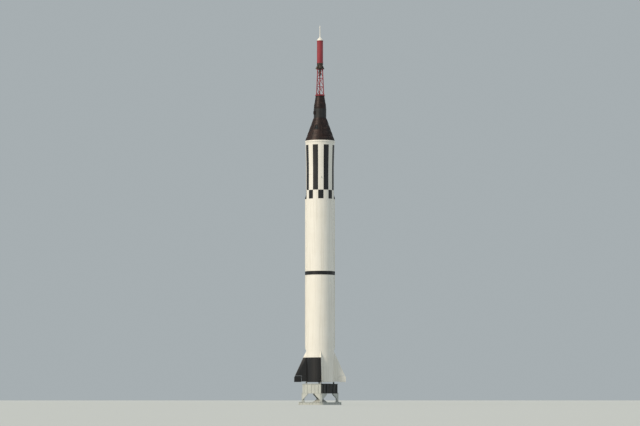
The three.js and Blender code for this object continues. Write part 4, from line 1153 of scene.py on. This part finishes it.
# Antenna canister: a straight foot, then a taper with rows of beads (low, high, count round), and a rim
# that carries the tower's clamp
canister = {"low": 18.945, "knee": 19.065, "rim": 19.72, "high": 19.7797, "lowRadius": 0.392,
            "highRadius": 0.282, "seam": (19.39, 19.402), "bead": 0.0075,
            "rows": ((19.115, 19.36, 48), (19.43, 19.69, 40))}


def canisterAt(z):
    share = (z - canister["knee"]) / (canister["rim"] - canister["knee"])
    return lerp(canister["lowRadius"], canister["highRadius"], min(1, max(0, share)))


bm = bmesh.new()
low, knee, rim, high = pick(canister, "low", "knee", "rim", "high")
features = [(knee - 0.01, knee + 0.004, 0.004), (*canister["seam"], -0.005), (rim, high, 0.008)]
reliefShell(bm, canisterAt, [low, knee, 19.4, 19.6, high], features, count=144)
beads = []
screws = ringSpots(canisterAt, (low + 0.03,), 48) + ringSpots(raised(canisterAt, 0.007), (19.75,), 36)
for bottom, top, count in canister["rows"]:
    for i in range(count):
        if i % 5:
            beads.append(beadUp(canisterAt, 360 * i / count, bottom, top, canister["bead"]))
        else:
            screws += rowSpots(canisterAt, 360 * i / count, bottom, top, 6)
addTubes(bm, beads)
addHeads(bm, screws, "shingleScrew")
finishPiece("antennaCanister", bm, "antenna_canister", ["shingleAlloy"])

# Horizon sensors: a small housing with a dark round eye in a collar.
# turn, radius of the skin, height of the middle, and the housing's height, width and rise
sensors = {"upper": (120, 0.392, 19.007, 0.11, 0.13, 0.06), "lower": (210, 0.404, 18.675, 0.21, 0.15, 0.07)}
eyeCollar = [(0.03, 0), (0.04, 0), (0.04, 0.01), (0.036, 0.013), (0.03, 0.013)]
eyeGlass = [(0, 0), (0.031, 0), (0.031, 0.005), (0.018, 0.0075), (0, 0.008)]
for name, (turn, radius, z, height, width, rise) in sensors.items():
    bm = bmesh.new()
    face, up, across = radius + rise, height / 2 - 0.022, width / 2 - 0.022
    addBlock(bm, (rise + 0.02, width, height), (face - (rise + 0.02) / 2, 0, z), turnOf(turn), 0.012)
    lathe(bm, eyeCollar, 40, 0, facingOut(turn, face - 0.004, z))
    # the eye's glass is near black: painted shade of the sensor's inside
    lathe(bm, eyeGlass, 40, 1, facingOut(turn, face - 0.004, z))
    addHeads(bm, [(spotAt(turn, face - sink, y, z + dz), polar(turn, 1, 0))
                  for y in (-across, across) for dz in (-up, up)], "sensorScrew")
    finishPiece("horizonSensor_" + name, bm, "horizon_sensor_" + name, ["shingleAlloy", "glassWithPaintedShade"])
print("capsule done")


# Escape tower

# Clamp ring: bolted down on the canister's rim and drawn together by three pairs of blocks
towerClamp = {"low": 19.78, "high": 19.8357, "middle": 19.808, "inner": 0.2, "outer": 0.31, "bolts": 18,
              "joints": (30, 150, 270)}
bm = bmesh.new()
low, high, middle, inner, outer, count = pick(towerClamp, "low", "high", "middle", "inner", "outer", "bolts")
lathe(bm, [(inner, low), (outer - 0.006, low), (outer, low + 0.006), (outer, 19.829), (outer - 0.006, high),
           (inner, high)], 96)
for turn in towerClamp["joints"]:
    for step in (0, 6):
        addBlock(bm, (0.03, 0.03, 0.045), (outer + 0.005, 0, middle), turnOf(turn + step))
bolts = [(polar(360 / count * i, outer - 0.01, 19.835), upwards) for i in range(count)]
addHeads(bm, bolts + ringSpots(outer, (middle,), count, 180 / count), "clampBolt")
finishPiece("towerClamp", bm, "tower_clamp_ring", ["redEnamel", "zincPlate"])

# Lattice: three legs with a brace and a strut between each two of them in every bay, and a cable conduit
tower = {"low": 19.836, "high": 21.4997, "turns": (90, 210, 330), "foot": 0.262, "head": 0.182, "leg": 0.032,
         "brace": 0.017, "bays": 3, "margin": 0.04, "collar": 0.036, "conduit": 0.009, "conduitOut": 0.048,
         "clips": (0.08, 0.3, 0.5, 0.7, 0.92)}


def legAt(i, share, out=0.0):
    return polar(tower["turns"][i % 3], lerp(tower["foot"], tower["head"], share) + out,
                 lerp(tower["low"], tower["high"], share))


bm = bmesh.new()
tubes, bolts = [], []
bays, margin, brace = pick(tower, "bays", "margin", "brace")
for i, turn in enumerate(tower["turns"]):
    tubes.append(([legAt(i, share) for share in steps(0.002, 0.998, 12)], tower["leg"]))
    tubes.append(([legAt(i, margin / 2), legAt(i + 1, margin / 2)], brace))
    for level in range(bays):
        low, high = (level + margin) / bays, (level + 1 - margin) / bays
        tubes.append(([legAt(i, low), legAt(i + 1, high)], brace))
        tubes.append(([legAt(i, high), legAt(i + 1, high)], brace))
        tubes.append(([legAt(i, high - 0.012), legAt(i, high + 0.012)], tower["collar"]))  # weld
    for share, size, up in ((0.012, (0.1, 0.075, 0.03), 1), (0.986, (0.085, 0.085, 0.03), -1)):  # end plates
        spot = legAt(i, share)
        out = spot.xy.length
        addBlock(bm, size, (out, 0, spot.z), turnOf(turn))
        bolts += [(spotAt(turn, out + x, y, spot.z + up * 0.0145), up * upwards)
                  for x in (-0.038, 0.038) for y in (-0.026, 0.026)]
conduit = [legAt(0, share, tower["conduitOut"]) for share in (0, 0.1, 0.3, 0.5, 0.7, 0.9, 1)]
tubes.append((conduit, tower["conduit"]))
for share in tower["clips"]:
    tubes.append(([legAt(0, share - 0.006, 0.02), legAt(0, share + 0.006, 0.02)], 0.042))
addTubes(bm, tubes, 16)
addHeads(bm, bolts, "towerBolt")
finishPiece("escapeTower", bm, "escape_tower", ["redEnamel", "zincPlate"])

# Jettison motor between the tower's heads: a small case with one nozzle, whose outline runs from the top down
jettison = [(0, 21.4997), (0.072, 21.4997), (0.072, 21.46), (0.069, 21.455), (0.069, 21.2),
            (0.072, 21.195), (0.072, 21.165), (0.06, 21.145), (0.036, 21.135), (0.034, 21.125),
            (0.058, 21.082), (0.053, 21.08), (0.022, 21.13), (0, 21.132)]
bm = bmesh.new()
lathe(bm, jettison, 64)
finishPiece("jettisonMotor", bm, "jettison_motor", ["nozzleSteel"])

# Nozzle cluster: head plate, flared skirt and three canted nozzles with rolled rims
nozzle = {"turns": (30, 150, 270), "cant": 19, "offset": 0.12, "throatZ": 21.82, "length": 0.33,
          "throat": 0.042, "exit": 0.1, "wall": 0.007, "flare": 0.85, "rim": 0.005, "bolts": 24}
housing = [(0, 21.5), (0.219, 21.5), (0.225, 21.506), (0.225, 21.539), (0.219, 21.545), (0.12, 21.545),
           (0.128, 21.58), (0.15, 21.66), (0.176, 21.74), (0.196, 21.8), (0.202, 21.805), (0.202, 21.84),
           (0.196, 21.845), (0.196, 21.8897), (0, 21.8897)]
bm = bmesh.new()
lathe(bm, housing, 96)
length, throat, exit, flare, rim, count = pick(nozzle, "length", "throat", "exit", "flare", "rim", "bolts")
outer = [(lerp(throat, exit, share ** flare), -length * share) for share in steps(0, 1, 16)]
inner = [(r - nozzle["wall"], z) for r, z in reversed(outer) if z < -0.09]
outer[-1:] = [(exit + rim, 0.012 - length), (exit + rim, 0.002 - length), (exit, -length)]
for turn in nozzle["turns"]:
    place = turnOf(turn) @ Matrix.Translation((nozzle["offset"], 0, nozzle["throatZ"])) @ \
        Matrix.Rotation(-math.radians(nozzle["cant"]), 4, "Y")
    lathe(bm, [(0, 0)] + outer + inner + [(0.02, -0.08), (0, -0.08)], 64, 0, place)
bolts = [(polar(360 / count * i, 0.208, 21.5445), upwards) for i in range(count)]
addHeads(bm, bolts + ringSpots(0.202, (21.822,), count), "nozzleBolt")
finishPiece("nozzleCluster", bm, "escape_nozzle_cluster", ["nozzleSteel", "zincPlate"])

# Escape motor: a plain case with a joint, bolted end bands and a cable cover up one side
motor = {"low": 21.89, "high": 23.3497, "radius": 0.196, "band": 0.05, "bandRise": 0.008, "step": 0.09,
         "stepRise": 0.003, "joint": 22.6, "cover": (86, 94), "coverRise": 0.01}
bm = bmesh.new()
low, high, radius, joint, step, rise = pick(motor, "low", "high", "radius", "joint", "step", "stepRise")
band, bandRise = pick(motor, "band", "bandRise")
features = [(low, low + band, bandRise), (low + band, low + step, rise), (high - band, high, bandRise),
            (high - step, high - band, rise), (joint, joint + 0.012, rise),
            (*motor["cover"], low + step, high - step, motor["coverRise"])]
reliefShell(bm, radius, [low, 22.2, joint, 23, high], features, count=96)
addHeads(bm, ringSpots(radius + bandRise, (low + band / 2, high - band / 2), 24), "ringBolt")
finishPiece("escapeMotor", bm, "escape_motor", ["redEnamel", "zincPlate"])

# Nose spike: a bell-shaped foot that swells down to the motor, and a rod with a probe
nose = {"low": 23.35, "tip": 24.35, "length": 0.26, "base": 0.196, "rod": 0.034,
        "probe": ((0.03, 0.6), (0.024, 0.17), (0.036, 0.162), (0.038, 0.15), (0.034, 0.13), (0.022, 0.08),
                  (0.008, 0.02), (0, 0))}  # radius and distance below the tip
bm = bmesh.new()
profile = [(0, nose["low"])]
for share in steps(0, 1, 24):
    swell = (0.5 + 0.5 * math.cos(math.pi * share)) ** 0.85
    profile.append((lerp(nose["rod"], nose["base"], swell), nose["low"] + nose["length"] * share))
lathe(bm, profile + [(r, nose["tip"] - down) for r, down in nose["probe"]], 64)
finishPiece("noseSpike", bm, "nose_spike", ["bodyPaint"])
print("escape tower done")


# Floor, light and camera

stage = {"floorRings": (420.0, 60.0, 8.0), "around": 128, "floorColour": "#bfc4c3", "sky": "#d8e2e6",
         "skyStrength": 0.56}
bm = bmesh.new()
skinLoops(bm, [[polar(360 * i / stage["around"], r, 0) for i in range(stage["around"])]
               for r in stage["floorRings"]], caps=False)
bm.verts.ensure_lookup_table()
bm.faces.new(bm.verts[-stage["around"]:])  # the middle
mesh = bpy.data.meshes.new("floor")
bm.to_mesh(mesh)
bm.free()
add, _ = startFinish("paleFloor")
endFinish(add, {"Base Color": toLinear(stage["floorColour"]), "Roughness": 0.9})
mesh.materials.append(finishes["paleFloor"])
floor = bpy.data.objects.new("floor", mesh)
bpy.context.scene.collection.objects.link(floor)

world = bpy.data.worlds.new("paleSky")
bpy.context.scene.world = world
world.use_nodes = True
sky = world.node_tree.nodes["Background"].inputs
sky["Color"].default_value = toLinear(stage["sky"])
sky["Strength"].default_value = stage["skyStrength"]

# name, colour, strength, width of the source in degrees, where it shines from: turn round from +X, height
lamps = (("key", "#fff0db", 2.6, 16, 215, 32), ("fill", "#d9e6ff", 0.12, 60, 335, 25),
         ("back", "#fbf6ee", 0.8, 50, 75, 45))
for name, colour, strength, width, turn, height in lamps:
    light = bpy.data.lights.new(name, "SUN")
    light.color = toLinear(colour)[:3]
    light.energy = strength
    light.angle = math.radians(width)
    lamp = bpy.data.objects.new(name, light)
    bpy.context.scene.collection.objects.link(lamp)
    way = polar(turn, math.cos(math.radians(height)), math.sin(math.radians(height)))
    lamp.rotation_euler = way.to_track_quat("Z", "Y").to_euler()

# From the photograph: far off at floor level, the front fin nearly face on
view = {"distance": 176.0, "turn": 3.5, "height": 0.4, "aim": 12.25, "lens": 155.0, "clip": (1.0, 3000.0)}
camera = bpy.data.objects.new("camera", bpy.data.cameras.new("camera"))
bpy.context.scene.collection.objects.link(camera)
camera.location = polar(270 - view["turn"], view["distance"], view["height"])
camera.rotation_euler = (Vector((0, 0, view["aim"])) - camera.location).to_track_quat("-Z", "Y").to_euler()
camera.data.lens = view["lens"]
camera.data.clip_start, camera.data.clip_end = view["clip"]
bpy.context.scene.camera = camera
bpy.context.scene.view_settings.view_transform = "Standard"

print("stage done")
